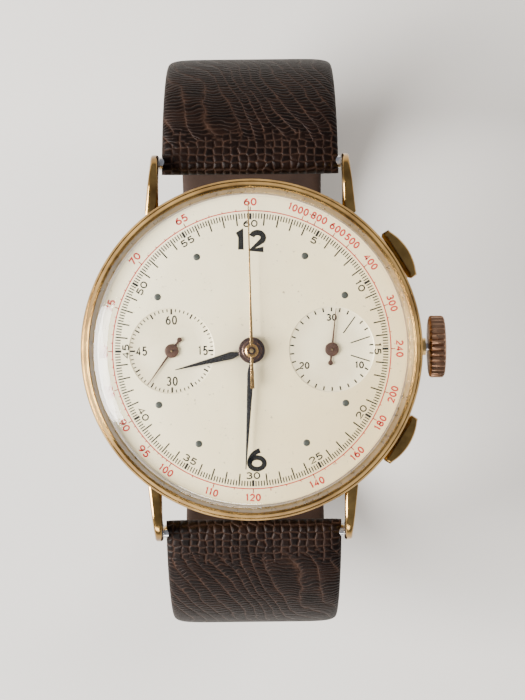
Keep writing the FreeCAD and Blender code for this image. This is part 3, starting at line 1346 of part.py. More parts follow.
def buckle_parts():
    low_half = D.buckle_width / 2
    inner = low_half + D.buckle_side_gap
    drop = BUCKLE_BAR_Z - (KEEPER_LOW + RIM_RADIUS + RIM_LIFT)
    reach = D.buckle_reach
    span = root(reach * reach + drop * drop)
    tilt = Size(
        math.degrees(math.atan2(float(drop), float(reach))), f"atan2({drop.text}; {reach.text})"
    )

    # the frame lies along local -Y from the bar, and is then tipped down to the strap's outside
    frame = new_body("buckle_blank")
    wide = inner + D.buckle_wall
    plan = [(-wide, 0.9), (-wide, -span + 1.2, 2.0), (-wide + 2.0, -span - RIM_RADIUS)]
    plan += [(wide - 2.0, -span - RIM_RADIUS, 2.0), (wide, -span + 1.2), (wide, 0.9), (inner, 0.9)]
    plan += [(inner, -span + RIM_RADIUS), (-inner, -span + RIM_RADIUS), (-inner, 0.9)]
    pad(frame, lambda s: draw(s, plan), -D.buckle_wall / 2, D.buckle_wall)
    half = D.tongue_width / 2 + 0.25
    notch = [(-half, -span - 2), (half, -span - 2), (half, -span + 2), (-half, -span + 2)]
    pad(frame, lambda s: draw(s, notch), -D.buckle_wall / 2 - 0.1, D.buckle_wall / 2 + 0.3, kind="Pocket")
    place(frame, 0, BUCKLE_BAR_Y, BUCKLE_BAR_Z, (1, 0, 0), tilt)
    bore = cross_bore("frame_bore", D.bar_tip_radius, BUCKLE_BAR_Y, BUCKLE_BAR_Z)
    keep("buckle_frame", cut("buckle_frame", frame, bore))

    length = inner * 2 - 0.1
    tube = rod("buckle_bar_tube", D.buckle_bar_radius, length, -length / 2, BUCKLE_BAR_Y, BUCKLE_BAR_Z, 0)
    length = length + 1.6
    tip = rod("buckle_bar_tip", D.bar_tip_radius, length, -length / 2, BUCKLE_BAR_Y, BUCKLE_BAR_Z, 0)
    keep("buckle_bar", fuse("buckle_bar", tube, tip))

    tongue = new_body("tongue_blank")
    side = D.tongue_width / 2
    blade = [(-side, 0), (-side, -span - 0.4), (side, -span - 0.4), (side, 0)]
    pad(tongue, lambda s: draw(s, blade), -0.62, 0.75)
    place(tongue, 0, BUCKLE_BAR_Y, BUCKLE_BAR_Z, (1, 0, 0), tilt)
    ring = rod("tongue_ring", Size(1.1), 1.8, -0.9, BUCKLE_BAR_Y, BUCKLE_BAR_Z, 0)
    bore = cross_bore("tongue_bore", D.buckle_bar_radius, BUCKLE_BAR_Y, BUCKLE_BAR_Z)
    keep("buckle_tongue", cut("buckle_tongue", fuse("tongue_whole", tongue, ring), bore))

    top = FLAT_Z + D.strap_thick / 2 + D.keeper_gap
    wall = D.keeper_wall
    fixed_y = BUCKLE_BAR_Y + D.keeper_offset
    free_y = fixed_y + D.keeper_width + D.keeper_spacing
    for label, y in (("fixed_keeper", fixed_y), ("free_keeper", free_y)):
        loop = new_body(label)
        sketch = plane_sketch(loop, "XZ_Plane")
        hole = low_half + D.keeper_gap
        out = hole + wall
        draw(sketch, [(-out, KEEPER_LOW), (out, KEEPER_LOW), (out, top + wall), (-out, top + wall)])
        draw(sketch, [(-hole, KEEPER_LOW + wall), (hole, KEEPER_LOW + wall), (hole, top), (-hole, top)])
        feature(loop, "Pad", sketch, Length=D.keeper_width, Reversed=True)
        keep(label, place(loop, 0, y))


# ---------------------------------------------------------------- make, check and write
def check_document():
    DOC.recompute()
    bad = [o.Label for o in DOC.Objects if {"Invalid", "Error"} & set(o.State)]
    if bad:
        raise RuntimeError(f"these objects failed: {bad}")
    for label, thing in SUBPARTS:
        shape = thing.Shape
        if shape.isNull() or not shape.isValid() or not shape.Solids or shape.Volume <= 0:
            raise RuntimeError(f"{label} has no valid solid")


def write_parts():
    os.makedirs("parts", exist_ok=True)
    for name in os.listdir("parts"):
        if name.endswith(".step"):
            os.remove(os.path.join("parts", name))
    for label, thing in SUBPARTS:
        thing.Shape.exportStep(os.path.join("parts", label + ".step"))
        print(f"{label}: {len(thing.Shape.Solids)} solids, {thing.Shape.Volume:.3f} mm3")


case_parts()
lug_parts()
crown_and_pushers()
dial()
hands()
barrel_works()
going_train()
escapement()
motion_works()
main_plate()
bridges()
fasteners()
chronograph_works()
winding_works()
strap_parts()
buckle_parts()
check_document()
write_parts()
print(len(SUBPARTS), "sub-parts")
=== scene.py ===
import math

import bmesh
import bpy
from mathutils import Matrix, Vector


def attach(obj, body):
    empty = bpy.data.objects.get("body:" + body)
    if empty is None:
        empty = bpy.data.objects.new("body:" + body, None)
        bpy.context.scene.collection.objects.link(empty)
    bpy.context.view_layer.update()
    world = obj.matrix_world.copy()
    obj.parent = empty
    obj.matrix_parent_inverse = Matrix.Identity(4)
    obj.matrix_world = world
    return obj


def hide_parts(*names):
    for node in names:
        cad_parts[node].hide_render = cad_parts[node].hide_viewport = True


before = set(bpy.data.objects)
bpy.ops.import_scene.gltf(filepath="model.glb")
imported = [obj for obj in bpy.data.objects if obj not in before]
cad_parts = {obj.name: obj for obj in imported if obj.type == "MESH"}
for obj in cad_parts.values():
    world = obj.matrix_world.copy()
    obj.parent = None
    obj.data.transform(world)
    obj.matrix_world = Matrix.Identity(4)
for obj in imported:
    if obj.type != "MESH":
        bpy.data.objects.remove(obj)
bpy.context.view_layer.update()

MM = 0.001

# ---- sizes, in millimetres
BAND = 18.5
BEZEL = 19.0
BEZEL_INNER = 18.0
BEZEL_FOOT = 7.6
BEZEL_TOP = 9.5
NECK_TOP = 8.6
DIAL_TOP = 8.1
DIAL_RADIUS = 17.3
REGISTER_X = 8.9
REGISTER_R = 4.78
REGISTER_DROP = 0.1
INK_HEIGHT = 0.012
TRACK_R = 15.2
SCALE_R = 15.47
REGISTER_TRACK_R = 4.66

# headings of the hands on the dial's middle, in degrees anticlockwise from three o'clock
HOUR_HEADING = 193.8
MINUTE_HEADING = -93.4
SWEEP_HEADING = 90.8

STEM_Z = 4.0
CROWN_X = 19.85
CROWN_R = 3.5
CROWN_LENGTH = 1.88
CROWN_FLUTES = 30
PUSHER_ANGLE = 32.0
PUSHER_START = 15.36
PUSHER_NEAR = 19.07
PUSHER_FAR = 20.82
PUSHER_HALF = 3.0
PUSHER_HEIGHT = 2.6

LUG_GAP = 20.6
LUG_WIDTH = 1.05
LUG_END_R = 0.95
BAR_Y = 20.95
BAR_Z = 1.9

STRAP_WIDE = 20.0
STRAP_NARROW = 18.0
STRAP_THICK = 2.2
STRAP_EYE_R = 1.3
LAYER = 2.45
LAY_ANGLE = 15.0
TURN_ANGLE = 150.0
TAIL_ANGLE = 26.0
SHOULDER_BEND = 15.9
SIDE_BEND = 26.0
FOOT_BEND = 14.0
BUCKLE_INSET = 3.6
KEEPER_WALL = 0.8
KEEPER_WIDTH = 4.0
KEEPER_OFFSET = 2.1
KEEPER_SPACING = 3.0
BUCKLE_REACH = 9.7
BUCKLE_WALL = 1.4


def sin_d(a):
    return math.sin(math.radians(a))


def cos_d(a):
    return math.cos(math.radians(a))


FLAT_Y = (
    BAR_Y + SHOULDER_BEND * (1 - sin_d(LAY_ANGLE)) + SIDE_BEND * (sin_d(TURN_ANGLE) - 1)
    - FOOT_BEND * sin_d(TURN_ANGLE)
)
FLAT_Z = (
    BAR_Z - SHOULDER_BEND * cos_d(LAY_ANGLE) + SIDE_BEND * cos_d(TURN_ANGLE)
    - FOOT_BEND * (1 + cos_d(TURN_ANGLE))
)
BUCKLE_Y = BUCKLE_INSET - FLAT_Y
BUCKLE_Z = FLAT_Z + 0.3
KEEPER_LOW = FLAT_Z - LAYER - STRAP_THICK / 2 - 0.1 - KEEPER_WALL
KEEPER_TOP = FLAT_Z + STRAP_THICK / 2 + 0.1 + KEEPER_WALL


# ---- node materials
class Nodes:
    """One material's node tree, with short ways to add nodes and link them."""

    def __init__(self, name):
        self.material = bpy.data.materials.new(name)
        self.material.use_nodes = True
        self.tree = self.material.node_tree
        self.shader = self.tree.nodes["Principled BSDF"]

    def link(self, value, socket):
        """Feeds a socket from another node's output, or sets it to a plain value."""
        if isinstance(value, bpy.types.NodeSocket):
            self.tree.links.new(value, socket)
        else:
            socket.default_value = value

    def node(self, kind, output, inputs, **settings):
        """A new node's output. inputs says what goes into each of its sockets."""
        made = self.tree.nodes.new("ShaderNode" + kind)
        for key, value in settings.items():
            setattr(made, key, value)
        for key, value in inputs.items():
            self.link(value, made.inputs[key])
        return made.outputs[output]

    def math(self, operation, *values):
        return self.node("Math", "Value", dict(enumerate(values)), operation=operation)

    def mix(self, factor, a, b, kind="RGBA"):
        return self.node("Mix", "Result", {"Factor": factor, "A": a, "B": b}, data_type=kind)

    def split(self, vector):
        """A vector's X and Y."""
        return [self.node("SeparateXYZ", axis, {"Vector": vector}) for axis in "XY"]

    def distance(self, x, y):
        squares = self.math("ADD", self.math("MULTIPLY", x, x), self.math("MULTIPLY", y, y))
        return self.math("POWER", squares, 0.5)

    def place(self):
        """The point in the object's own space, in metres."""
        return self.node("TexCoord", "Object", {})

    def noise(self, scale, detail=4.0, rough=0.6, stretch=None):
        """Noise in the object's own space, in features per metre."""
        where = self.place()
        if stretch is not None:
            where = self.node("Mapping", "Vector", {"Vector": where, "Scale": stretch})
        inputs = {"Vector": where, "Scale": scale, "Detail": detail, "Roughness": rough}
        return self.node("TexNoise", "Fac", inputs)

    def ramp(self, fac, *stops):
        """A colour for each place in fac, from (place, colour) stops."""
        made = self.tree.nodes.new("ShaderNodeValToRGB")
        elements = made.color_ramp.elements
        while len(elements) < len(stops):
            elements.new(0.5)
        for element, (at, colour) in zip(elements, stops):
            element.position = at
            element.color = (*colour, 1)
        self.link(fac, made.inputs["Fac"])
        return made.outputs["Color"]

    def spread(self, fac, low, high, from_low=0.3, from_high=0.7):
        """fac with from_low..from_high moved to low..high."""
        ends = {"From Min": from_low, "From Max": from_high, "To Min": low, "To Max": high}
        return self.node("MapRange", "Result", {"Value": fac, **ends})

    def bump(self, height, distance, strength=1.0):
        return self.node("Bump", "Normal", {"Height": height, "Distance": distance, "Strength": strength})

    def surface(self, colour, roughness, normal, **uniform):
        """Feeds the shader. uniform holds the sockets that have one value all over."""
        for key, value in (("Base Color", colour), ("Roughness", roughness), ("Normal", normal)):
            self.link(value, self.shader.inputs[key])
        for key, value in uniform.items():
            self.shader.inputs[key.replace("_", " ")].default_value = value
        return self.material


def metal(name, light, dark, rough=(0.12, 0.3), grain=900.0, relief=2e-6, stretch=None):
    """A polished or grained metal: patchy tarnish, uneven polish and fine marks."""
    n = Nodes(name)
    marks = n.noise(grain, 3.0, 0.5, stretch)
    colour = n.ramp(n.noise(260.0, 5.0), (0.32, dark), (0.62, light))
    return n.surface(colour, n.spread(marks, *rough), n.bump(marks, relief, 0.6), Metallic=1.0)


def paint(name, light, dark, rough, grain, metallic=0.0, coat=0.0, sheen=0.5):
    """Lacquer, ink or enamel with a slightly uneven tone and surface."""
    n = Nodes(name)
    marks = n.noise(grain, 3.0)
    colour = n.ramp(n.noise(grain / 5, 4.0), (0.3, dark), (0.7, light))
    uniform = {"Metallic": metallic, "Coat_Weight": coat, "Specular_IOR_Level": sheen}
    return n.surface(colour, n.spread(marks, *rough), n.bump(marks, 1e-6), **uniform)


def dial_material():
    """Silvered, lacquered dial: cream, warmer to the lower right, with small age specks and a greyer
    patch round the hands."""
    n = Nodes("dial_silvered")
    x, y = n.split(n.place())
    clouds = n.noise(130.0, 5.0, 0.65)
    slope = n.math("SUBTRACT", x, n.math("MULTIPLY", y, 0.5))
    age = n.spread(n.math("MULTIPLY_ADD", clouds, 0.016, slope), 0.0, 1.0, -0.006, 0.030)
    fresh, aged, old = (0.86, 0.80, 0.585), (0.81, 0.715, 0.455), (0.70, 0.57, 0.31)
    specks = n.spread(n.noise(2600.0, 2.0, 0.5), 0.0, 1.0, 0.65, 0.72)
    rare = n.spread(n.noise(420.0, 3.0), 0.0, 0.8, 0.47, 0.6)
    lacquer = n.ramp(age, (0.0, fresh), (0.5, aged), (1.0, old))
    speckled = n.mix(n.math("MULTIPLY", specks, rare), lacquer, (0.30, 0.25, 0.17, 1))
    radius = n.distance(x, y)
    handled = n.spread(n.math("MULTIPLY_ADD", clouds, 0.0028, radius), 0.42, 0.0, 0.0028, 0.0058)
    colour = n.mix(handled, speckled, (0.40, 0.36, 0.29, 1))
    grain = n.noise(6000.0, 3.0)
    height = n.math("ADD", grain, n.math("MULTIPLY", radius, 3.0))
    return n.surface(colour, n.spread(grain, 0.38, 0.56), n.bump(height, 2.5e-6), Metallic=0.12)


def register_material(name, centre_x, ring_pitch=0.09):
    """The sunk registers: the dial's cream, turned with fine concentric lines."""
    n = Nodes(name)
    x, y = n.split(n.place())
    radius = n.distance(n.math("SUBTRACT", x, centre_x * MM), y)
    rings = n.math("SINE", n.math("MULTIPLY", radius, 2 * math.pi / (ring_pitch * MM)))
    clouds = n.noise(300.0, 4.0)
    colour = n.ramp(clouds, (0.3, (0.78, 0.70, 0.48)), (0.7, (0.84, 0.775, 0.565)))
    return n.surface(colour, n.spread(clouds, 0.34, 0.5), n.bump(rings, 1.6e-6), Metallic=0.15)


def crystal_material():
    """Clear domed plastic: reflects more at a glancing angle, and lets the rest straight through."""
    n = Nodes("acrylic")
    n.tree.nodes.remove(n.shader)
    marks = n.noise(500.0, 4.0, 0.6)
    polish = {"Roughness": n.spread(marks, 0.02, 0.09), "Normal": n.bump(marks, 4e-6)}
    glossy = n.node("BsdfGlossy", 0, {"Color": (1, 1, 1, 1), **polish})
    tint = n.ramp(marks, (0.3, (0.972, 0.968, 0.955)), (0.7, (0.985, 0.983, 0.975)))
    clear = n.node("BsdfTransparent", 0, {"Color": tint})
    glance = n.math("MULTIPLY", n.node("Fresnel", "Fac", {"IOR": 1.49}), 0.7)
    mixed = n.node("MixShader", 0, {0: n.math("MINIMUM", glance, 0.22), 1: clear, 2: glossy})
    n.link(mixed, n.tree.nodes["Material Output"].inputs["Surface"])
    return n.material


def lizard_material(pitch=1.5, cell=0.45, lean=0.34):
    """Lizard skin in the strap's own millimetres: two or three rows of round scales at the lug end, then
    long slanting files of short, wide scales, each file a little out of step with the next."""
    n = Nodes("lizard")
    uv = n.node("UVMap", "UV", {})
    across, along = n.split(uv)

    def noise(scale, detail=2.0):
        return n.node("TexNoise", "Fac", {"Vector": uv, "Scale": scale, "Detail": detail})

    def combine(x, y):
        return n.node("CombineXYZ", "Vector", {"X": x, "Y": y})

    def rounded_off(value, power):
        """1 in the middle of a 0..1 cell, 0 at its two sides."""
        off = n.math("ABSOLUTE", n.math("MULTIPLY_ADD", value, 2.0, -1.0))
        return n.math("SUBTRACT", 1.0, n.math("POWER", off, power))

    # the files of wide scales
    wander = n.math("ADD", n.spread(noise(0.075, 1.0), -2.6, 2.6), n.spread(noise(0.7), -0.13, 0.13))
    slanted = n.math("MULTIPLY_ADD", along, lean, across)
    column = n.math("MULTIPLY", n.math("ADD", slanted, wander), 1 / pitch)
    file_number, in_file = n.math("FLOOR", column), n.math("FRACT", column)
    chance = n.node("TexWhiteNoise", "Value", {"W": file_number}, noise_dimensions="1D")
    arched = n.math("MULTIPLY", rounded_off(in_file, 2.0), 0.35)
    step = n.math("ADD", n.math("MULTIPLY", along, 1 / cell), n.math("ADD", chance, arched))
    step = n.math("ADD", step, n.spread(noise(0.3), -0.8, 0.8))
    row_number, in_row = n.math("FLOOR", step), n.math("FRACT", step)
    far = n.math("MULTIPLY", rounded_off(in_file, 3.2), rounded_off(in_row, 2.2))
    scale_number = {"Vector": combine(file_number, row_number)}
    far_tone = n.node("TexWhiteNoise", "Value", scale_number, noise_dimensions="2D")

    # the round scales beside the lugs
    where = combine(n.math("MULTIPLY", across, 1.05), n.math("MULTIPLY", along, 1.25))
    cells = {"Vector": where, "Scale": 1.0, "Randomness": 0.42}
    gap = n.node("TexVoronoi", "Distance", cells, feature="DISTANCE_TO_EDGE", voronoi_dimensions="2D")
    near = n.spread(gap, 0.0, 1.0, 0.02, 0.30)
    cell_colour = n.node("TexVoronoi", "Color", cells, voronoi_dimensions="2D")
    near_tone = n.node("RGBToBW", "Val", {"Color": cell_colour})

    border = n.math("ADD", along, n.spread(noise(0.5), -1.6, 1.6))
    blend = n.spread(border, 0.0, 1.0, 1.9, 2.9)
    dome = n.mix(blend, near, far, "FLOAT")
    own_tone = n.mix(blend, near_tone, far_tone, "FLOAT")
    tone = n.math("MULTIPLY_ADD", own_tone, 0.45, n.math("MULTIPLY", noise(0.3, 5.0), 0.7))
    dark, brown, light = (0.0016, 0.0006, 0.0004), (0.0040, 0.0016, 0.0010), (0.010, 0.0042, 0.0026)
    scales = n.ramp(tone, (0.3, dark), (0.65, brown), (0.95, light))
    # the rims between scales are lighter than the scales: partly wear on the raised edges, partly a painted
    # highlight where those edges catch the light
    rim_glint_and_wear = n.ramp(noise(0.9, 4.0), (0.3, (0.007, 0.0034, 0.0022)), (0.7, (0.027, 0.0138, 0.0090)))
    colour = n.mix(n.spread(dome, 0.0, 1.0, 0.10, 0.55), rim_glint_and_wear, scales)
    pores = noise(9.0, 4.0)
    height = n.math("MULTIPLY_ADD", pores, 0.10, n.math("POWER", dome, 0.55))
    rough = n.spread(pores, 0.38, 0.58)
    return n.surface(colour, rough, n.bump(height, 1.1e-4), Specular_IOR_Level=0.09)


def leather_material(name, light, dark):
    """Smooth calf, for the lining and the cut edges."""
    n = Nodes(name)
    pores = n.noise(2600.0, 5.0, 0.7)
    colour = n.ramp(n.noise(240.0, 4.0), (0.3, dark), (0.7, light))
    rough = n.spread(pores, 0.5, 0.75)
    return n.surface(colour, rough, n.bump(pores, 3e-5, 0.7), Specular_IOR_Level=0.15)


def floor_material():
    n = Nodes("floor_paper")
    grain = n.noise(900.0, 3.0)
    colour = n.ramp(n.noise(9.0, 5.0), (0.3, (0.44, 0.43, 0.415)), (0.7, (0.48, 0.47, 0.455)))
    return n.surface(colour, n.spread(grain, 0.65, 0.8), n.bump(grain, 2e-5, 0.4))


# the polished gold of the bezel, lugs, pushers and buckle is darkened as painted shade: its colour stands for
# the dark surroundings it reflects, so it is darker than the case middle's satin gold
SHADED_GOLD = metal("yellow_gold_shaded", (0.46, 0.285, 0.095), (0.20, 0.112, 0.034), (0.10, 0.26))
GOLD_SATIN = metal("satin_gold", (0.72, 0.49, 0.20), (0.50, 0.31, 0.11), (0.24, 0.40), 1400.0, 4e-6)
ROSE = metal("rose_gold", (0.40, 0.23, 0.14), (0.20, 0.105, 0.06), (0.22, 0.42), 1600.0, 4e-6)
HAND_GOLD = metal("gilt_hand", (0.66, 0.43, 0.18), (0.45, 0.27, 0.10), (0.15, 0.32), 3000.0)
STEEL = metal("steel", (0.62, 0.62, 0.63), (0.45, 0.45, 0.46), (0.15, 0.32), 1800.0)
BRASS = metal("gilt_brass", (0.83, 0.64, 0.31), (0.66, 0.47, 0.20), (0.2, 0.36), 2200.0)
BRUSHED = (1, 14, 1)
NICKEL = metal("plated_brass", (0.74, 0.69, 0.58), (0.60, 0.54, 0.43), (0.22, 0.38), 1500.0, 3e-6, BRUSHED)
BLACK_STEEL = paint("black_steel", (0.022, 0.021, 0.022), (0.010, 0.010, 0.011), (0.22, 0.38), 4000.0, 0.35)
BROWN_STEEL = paint("brown_steel", (0.105, 0.055, 0.038), (0.045, 0.024, 0.018), (0.28, 0.45), 4000.0, 0.45)
HUB_STEEL = paint("hub_steel", (0.075, 0.045, 0.04), (0.030, 0.018, 0.018), (0.2, 0.36), 4000.0, 0.6)
HUB_BROWN = paint("hub_brown", (0.17, 0.105, 0.085), (0.085, 0.05, 0.042), (0.16, 0.3), 4000.0, 0.75)
INK_BLACK = paint("ink_black", (0.012, 0.012, 0.011), (0.004, 0.004, 0.004), (0.55, 0.75), 9000.0, sheen=0.1)
INK_DOT = paint("ink_dot", (0.045, 0.052, 0.045), (0.020, 0.024, 0.020), (0.3, 0.5), 9000.0)
INK_RED = paint("ink_red", (0.46, 0.030, 0.026), (0.32, 0.016, 0.015), (0.4, 0.6), 9000.0, sheen=0.1)
RUBY = paint("ruby", (0.52, 0.03, 0.08), (0.30, 0.01, 0.04), (0.05, 0.15), 3000.0, coat=1.0)
DIAL = dial_material()
REGISTER_LEFT = register_material("register_left", -REGISTER_X)
REGISTER_RIGHT = register_material("register_right", REGISTER_X)
ACRYLIC = crystal_material()
LIZARD = lizard_material()
# the lining is a dark brown calf made darker still as painted shade, for where it shows in the gap between
# strap and case
SHADED_LINING = leather_material("lining_calf_shaded", (0.022, 0.012, 0.008), (0.012, 0.0065, 0.0045))
EDGE = leather_material("edge_calf", (0.016, 0.0085, 0.006), (0.009, 0.005, 0.004))


# ---- mesh helpers
def add_object(name, data):
    made = bpy.data.objects.new(name, data)
    bpy.context.scene.collection.objects.link(made)
    return made


class Shape:
    """Gathers vertices in millimetres and faces with a material number and optional face corners' UVs."""

    def __init__(self):
        self.points, self.faces, self.slots, self.uvs = [], [], [], []

    def add(self, points, faces, slot=0, uvs=None):
        first = len(self.points)
        self.points += [tuple(p) for p in points]
        for k, face in enumerate(faces):
            self.faces.append([first + i for i in face])
            self.slots.append(slot)
            self.uvs.append(uvs[k] if uvs else None)

    def add_plain(self, faces, slot):
        """Faces without UVs, between points that are there already."""
        self.faces += faces
        self.slots += [slot] * len(faces)
        self.uvs += [None] * len(faces)

    def build(self, name, body, materials, slot, replaces=(), sharp=35.0, outward=False):
        """The finished piece, riding body. outward turns every face outwards at the end."""
        mesh = bpy.data.meshes.new(name)
        mesh.from_pydata([(x * MM, y * MM, z * MM) for x, y, z in self.points], [], self.faces)
        mesh.polygons.foreach_set("material_index", self.slots)
        if any(u is not None for u in self.uvs):
            layer = mesh.uv_layers.new(name="UVMap")
            flat = [c for face, uv in zip(self.faces, self.uvs) for c in (uv or [(0.0, 0.0)] * len(face))]
            for loop, value in zip(layer.data, flat):
                loop.uv = value
        mesh.validate()
        mesh.polygons.foreach_set("use_smooth", [True] * len(mesh.polygons))
        mesh.set_sharp_from_angle(angle=math.radians(sharp))
        mesh.update()
        made = add_object(name, mesh)
        for material in materials:
            mesh.materials.append(material)
        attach(made, body)
        if replaces:
            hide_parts(*replaces)
        if outward:
            fix_normals(mesh)


def fix_normals(mesh):
    work = bmesh.new()
    work.from_mesh(mesh)
    bmesh.ops.recalc_face_normals(work, faces=work.faces)
    work.to_mesh(mesh)
    work.free()


def rounded(corners, closed=False, steps=6):
    """Points along a path whose corners (a, b, radius) are rounded by small arcs."""
    out, count = [], len(corners)
    for i, corner in enumerate(corners):
        p = Vector(corner[:2])
        radius = corner[2] if len(corner) > 2 else 0
        if radius == 0 or (not closed and i in (0, count - 1)):
            out.append(tuple(p))
            continue
        before, after = [Vector(corners[k % count][:2]) - p for k in (i - 1, i + 1)]
        half = before.angle(after) / 2
        back = min(radius / math.tan(half), before.length * 0.49, after.length * 0.49)
        radius = back * math.tan(half)
        a, b = p + before.normalized() * back, p + after.normalized() * back
        middle = p + (before.normalized() + after.normalized()).normalized() * (radius / math.sin(half))
        start = math.atan2(a.y - middle.y, a.x - middle.x)
        sweep = (math.atan2(b.y - middle.y, b.x - middle.x) - start + math.pi) % (2 * math.pi) - math.pi
        for k in range(steps + 1):
            angle = start + sweep * k / steps
            out.append((middle.x + radius * math.cos(angle), middle.y + radius * math.sin(angle)))
    return out


def lathe(shape, profile, steps=128, centre=(0, 0), slot=0, closed=True, matrix=None, ripple=None):
    """Turns (radius, height) points about Z. ripple(angle, radius, height) can change the radius."""
    rings = []
    points, faces = [], []
    for radius, height in profile:
        row = []
        for k in range(steps if radius > 1e-6 else 1):
            angle = 2 * math.pi * k / steps
            r = ripple(angle, radius, height) if ripple else radius
            row.append(len(points))
            x, y = centre[0] + r * math.cos(angle), centre[1] + r * math.sin(angle)
            points.append(Vector((x, y, height)))
        rings.append(row)
    for low, high in zip(rings, rings[1:] + rings[:closed]):
        for k in range(steps):
            a, b = low[k % len(low)], low[(k + 1) % len(low)]
            c, d = high[(k + 1) % len(high)], high[k % len(high)]
            face = [v for i, v in enumerate((a, b, c, d)) if v not in (a, b, c, d)[:i]]
            if len(face) > 2:
                faces.append(face)
    if matrix is not None:
        points = [matrix @ p for p in points]
    shape.add(points, faces, slot)


def tube_faces(rows, count):
    """The faces of a tube with both ends closed: rows of count points each."""
    faces = []
    for first in range(0, (rows - 1) * count, count):
        for k in range(count):
            n = (k + 1) % count
            faces.append([first + k, first + n, first + count + n, first + count + k])
    ends = [list(range(count))[::-1], [(rows - 1) * count + k for k in range(count)]]
    return faces + ends


def slab(shape, outline, low, high, edge, matrix, steps=3):
    """A flat plate from a closed outline, with its upper and lower edges rounded by edge.
    The outline's points are moved inwards along their own corner's bisector."""
    count = len(outline)
    if sum(x * v - u * y for (x, y), (u, v) in zip(outline, outline[1:] + outline[:1])) < 0:
        outline = outline[::-1]
    inward = []
    for i in range(count):
        p, q, r = (Vector(outline[(i + k) % count]) for k in (-1, 0, 1))
        a, b = (q - p).normalized(), (r - q).normalized()
        na, nb = Vector((-a.y, a.x)), Vector((-b.y, b.x))
        bisector = na + nb
        inward.append(bisector / max(bisector.length_squared / 2, 0.35))
    turns = [math.pi / 2 * k / steps for k in range(steps + 1)]
    levels = [(edge * (1 - math.sin(t)), low + edge * (1 - math.cos(t))) for t in turns]
    levels += [(inset, low + high - z) for inset, z in levels[::-1]]
    points = [
        Vector((outline[i][0] + inward[i].x * inset, outline[i][1] + inward[i].y * inset, z))
        for inset, z in levels
        for i in range(count)
    ]
    shape.add([matrix @ p for p in points], tube_faces(len(levels), count))


def turned_by(degrees, x=0.0, y=0.0):
    return Matrix.Translation((x, y, 0)) @ Matrix.Rotation(math.radians(degrees), 4, "Z")


# ---- dial and its printing
def stroke(shape, points, width, level):
    """An ink line of that width along points, standing INK_HEIGHT above level, and closed where the
    last point is the first again."""
    path = [Vector(p) for p in points]
    closed = (path[0] - path[-1]).length < 1e-5
    if closed:
        path.pop()
    count = len(path)
    sides = []
    for i in range(count):
        if closed or 0 < i < count - 1:
            a = (path[i] - path[i - 1]).normalized()
            b = (path[(i + 1) % count] - path[i]).normalized()
        else:
            a = b = ((path[1] - path[0]) if i == 0 else (path[-1] - path[-2])).normalized()
        normal = Vector((-a.y - b.y, a.x + b.x))
        normal /= max(normal.length_squared / 2, 0.5)
        sides.append(normal * width / 2)
    top = level + INK_HEIGHT
    corners = []
    for p, s in zip(path, sides):
        corners += [(*(p + s), top), (*(p - s), top), (*(p - s), level), (*(p + s), level)]
    faces = []
    for i in range(count if closed else count - 1):
        a, b = 4 * i, 4 * ((i + 1) % count)
        faces += [[a + k, a + (k + 1) % 4, b + (k + 1) % 4, b + k] for k in range(4)]
    if not closed:
        faces += [[3, 2, 1, 0], [4 * (count - 1) + k for k in range(4)]]
    shape.add(corners, [f[::-1] for f in faces])


def bow(x, y, rx, ry, start, end, steps=14):
    """Points along part of an ellipse about (x, y), from start to end degrees."""
    angles = [start + (end - start) * k / steps for k in range(steps + 1)]
    return [(x + rx * cos_d(a), y + ry * sin_d(a)) for a in angles]


def digit(figure, w):
    """A figure's lines in a box w wide and 1 high."""
    if figure == "0":
        return [bow(w / 2, 0.5, w / 2, 0.5, 0, 360, 28)]
    if figure == "1":
        return [[(w * 0.2, 0.86), (w * 0.5, 1.0), (w * 0.5, 0.0)]]
    if figure == "2":
        return [bow(w / 2, 0.7, w / 2, 0.3, 165, -38) + [(0.0, 0.0), (w, 0.0)]]
    if figure == "3":
        foot = bow(w * 0.46, 0.265, w * 0.52, 0.265, 88, -150)
        return [bow(w * 0.46, 0.745, w * 0.44, 0.255, 150, -88), foot]
    if figure == "4":
        return [[(w * 0.76, 0.0), (w * 0.76, 1.0), (0.0, 0.27), (w * 1.05, 0.27)]]
    if figure == "5":
        foot = bow(w * 0.47, 0.31, w * 0.5, 0.31, 128, -148)
        return [[(w * 0.92, 1.0), (w * 0.2, 1.0), (w * 0.12, 0.55)] + foot]
    if figure == "6":
        return [bow(w / 2, 0.3, w / 2, 0.3, 0, 360, 24), bow(w * 1.02, 0.3, w * 1.02, 0.7, 180, 108)]
    if figure == "7":
        return [[(0.0, 1.0), (w, 1.0), (w * 0.33, 0.0)]]
    if figure == "8":
        return [bow(w / 2, 0.75, w * 0.4, 0.25, 0, 360, 22), bow(w / 2, 0.26, w / 2, 0.26, 0, 360, 22)]
    # the nine is a six turned upside down
    return [[(w - x, 1 - y) for x, y in line] for line in digit("6", w)]


def number(shape, text, x, y, turn, height, weight, level, wide=0.62, gap=0.34):
    """A number centred on (x, y), turned by turn degrees, drawn in strokes of weight times its height."""
    line = weight * height
    box = height - line
    widths = [0.5 * wide if f == "1" else wide for f in text]
    total = sum(widths) + gap * (len(text) - 1)
    move = turned_by(turn, x, y)
    at = -total / 2
    for figure, w in zip(text, widths):
        shift = -wide * 0.25 if figure == "1" else 0.0
        for points in digit(figure, wide):
            placed = [move @ Vector(((at + shift + px) * box, (py - 0.5) * box, 0)) for px, py in points]
            stroke(shape, [p.xy for p in placed], line, level)
        at += w + gap


def on_circle(radius, clockwise, x=0.0):
    return (x + radius * sin_d(clockwise), radius * cos_d(clockwise))


def readable(clockwise):
    """The turn that keeps a number round the dial upright: tops out above, tops in below."""
    return 180 - clockwise if 92 < clockwise % 360 < 268 else -clockwise


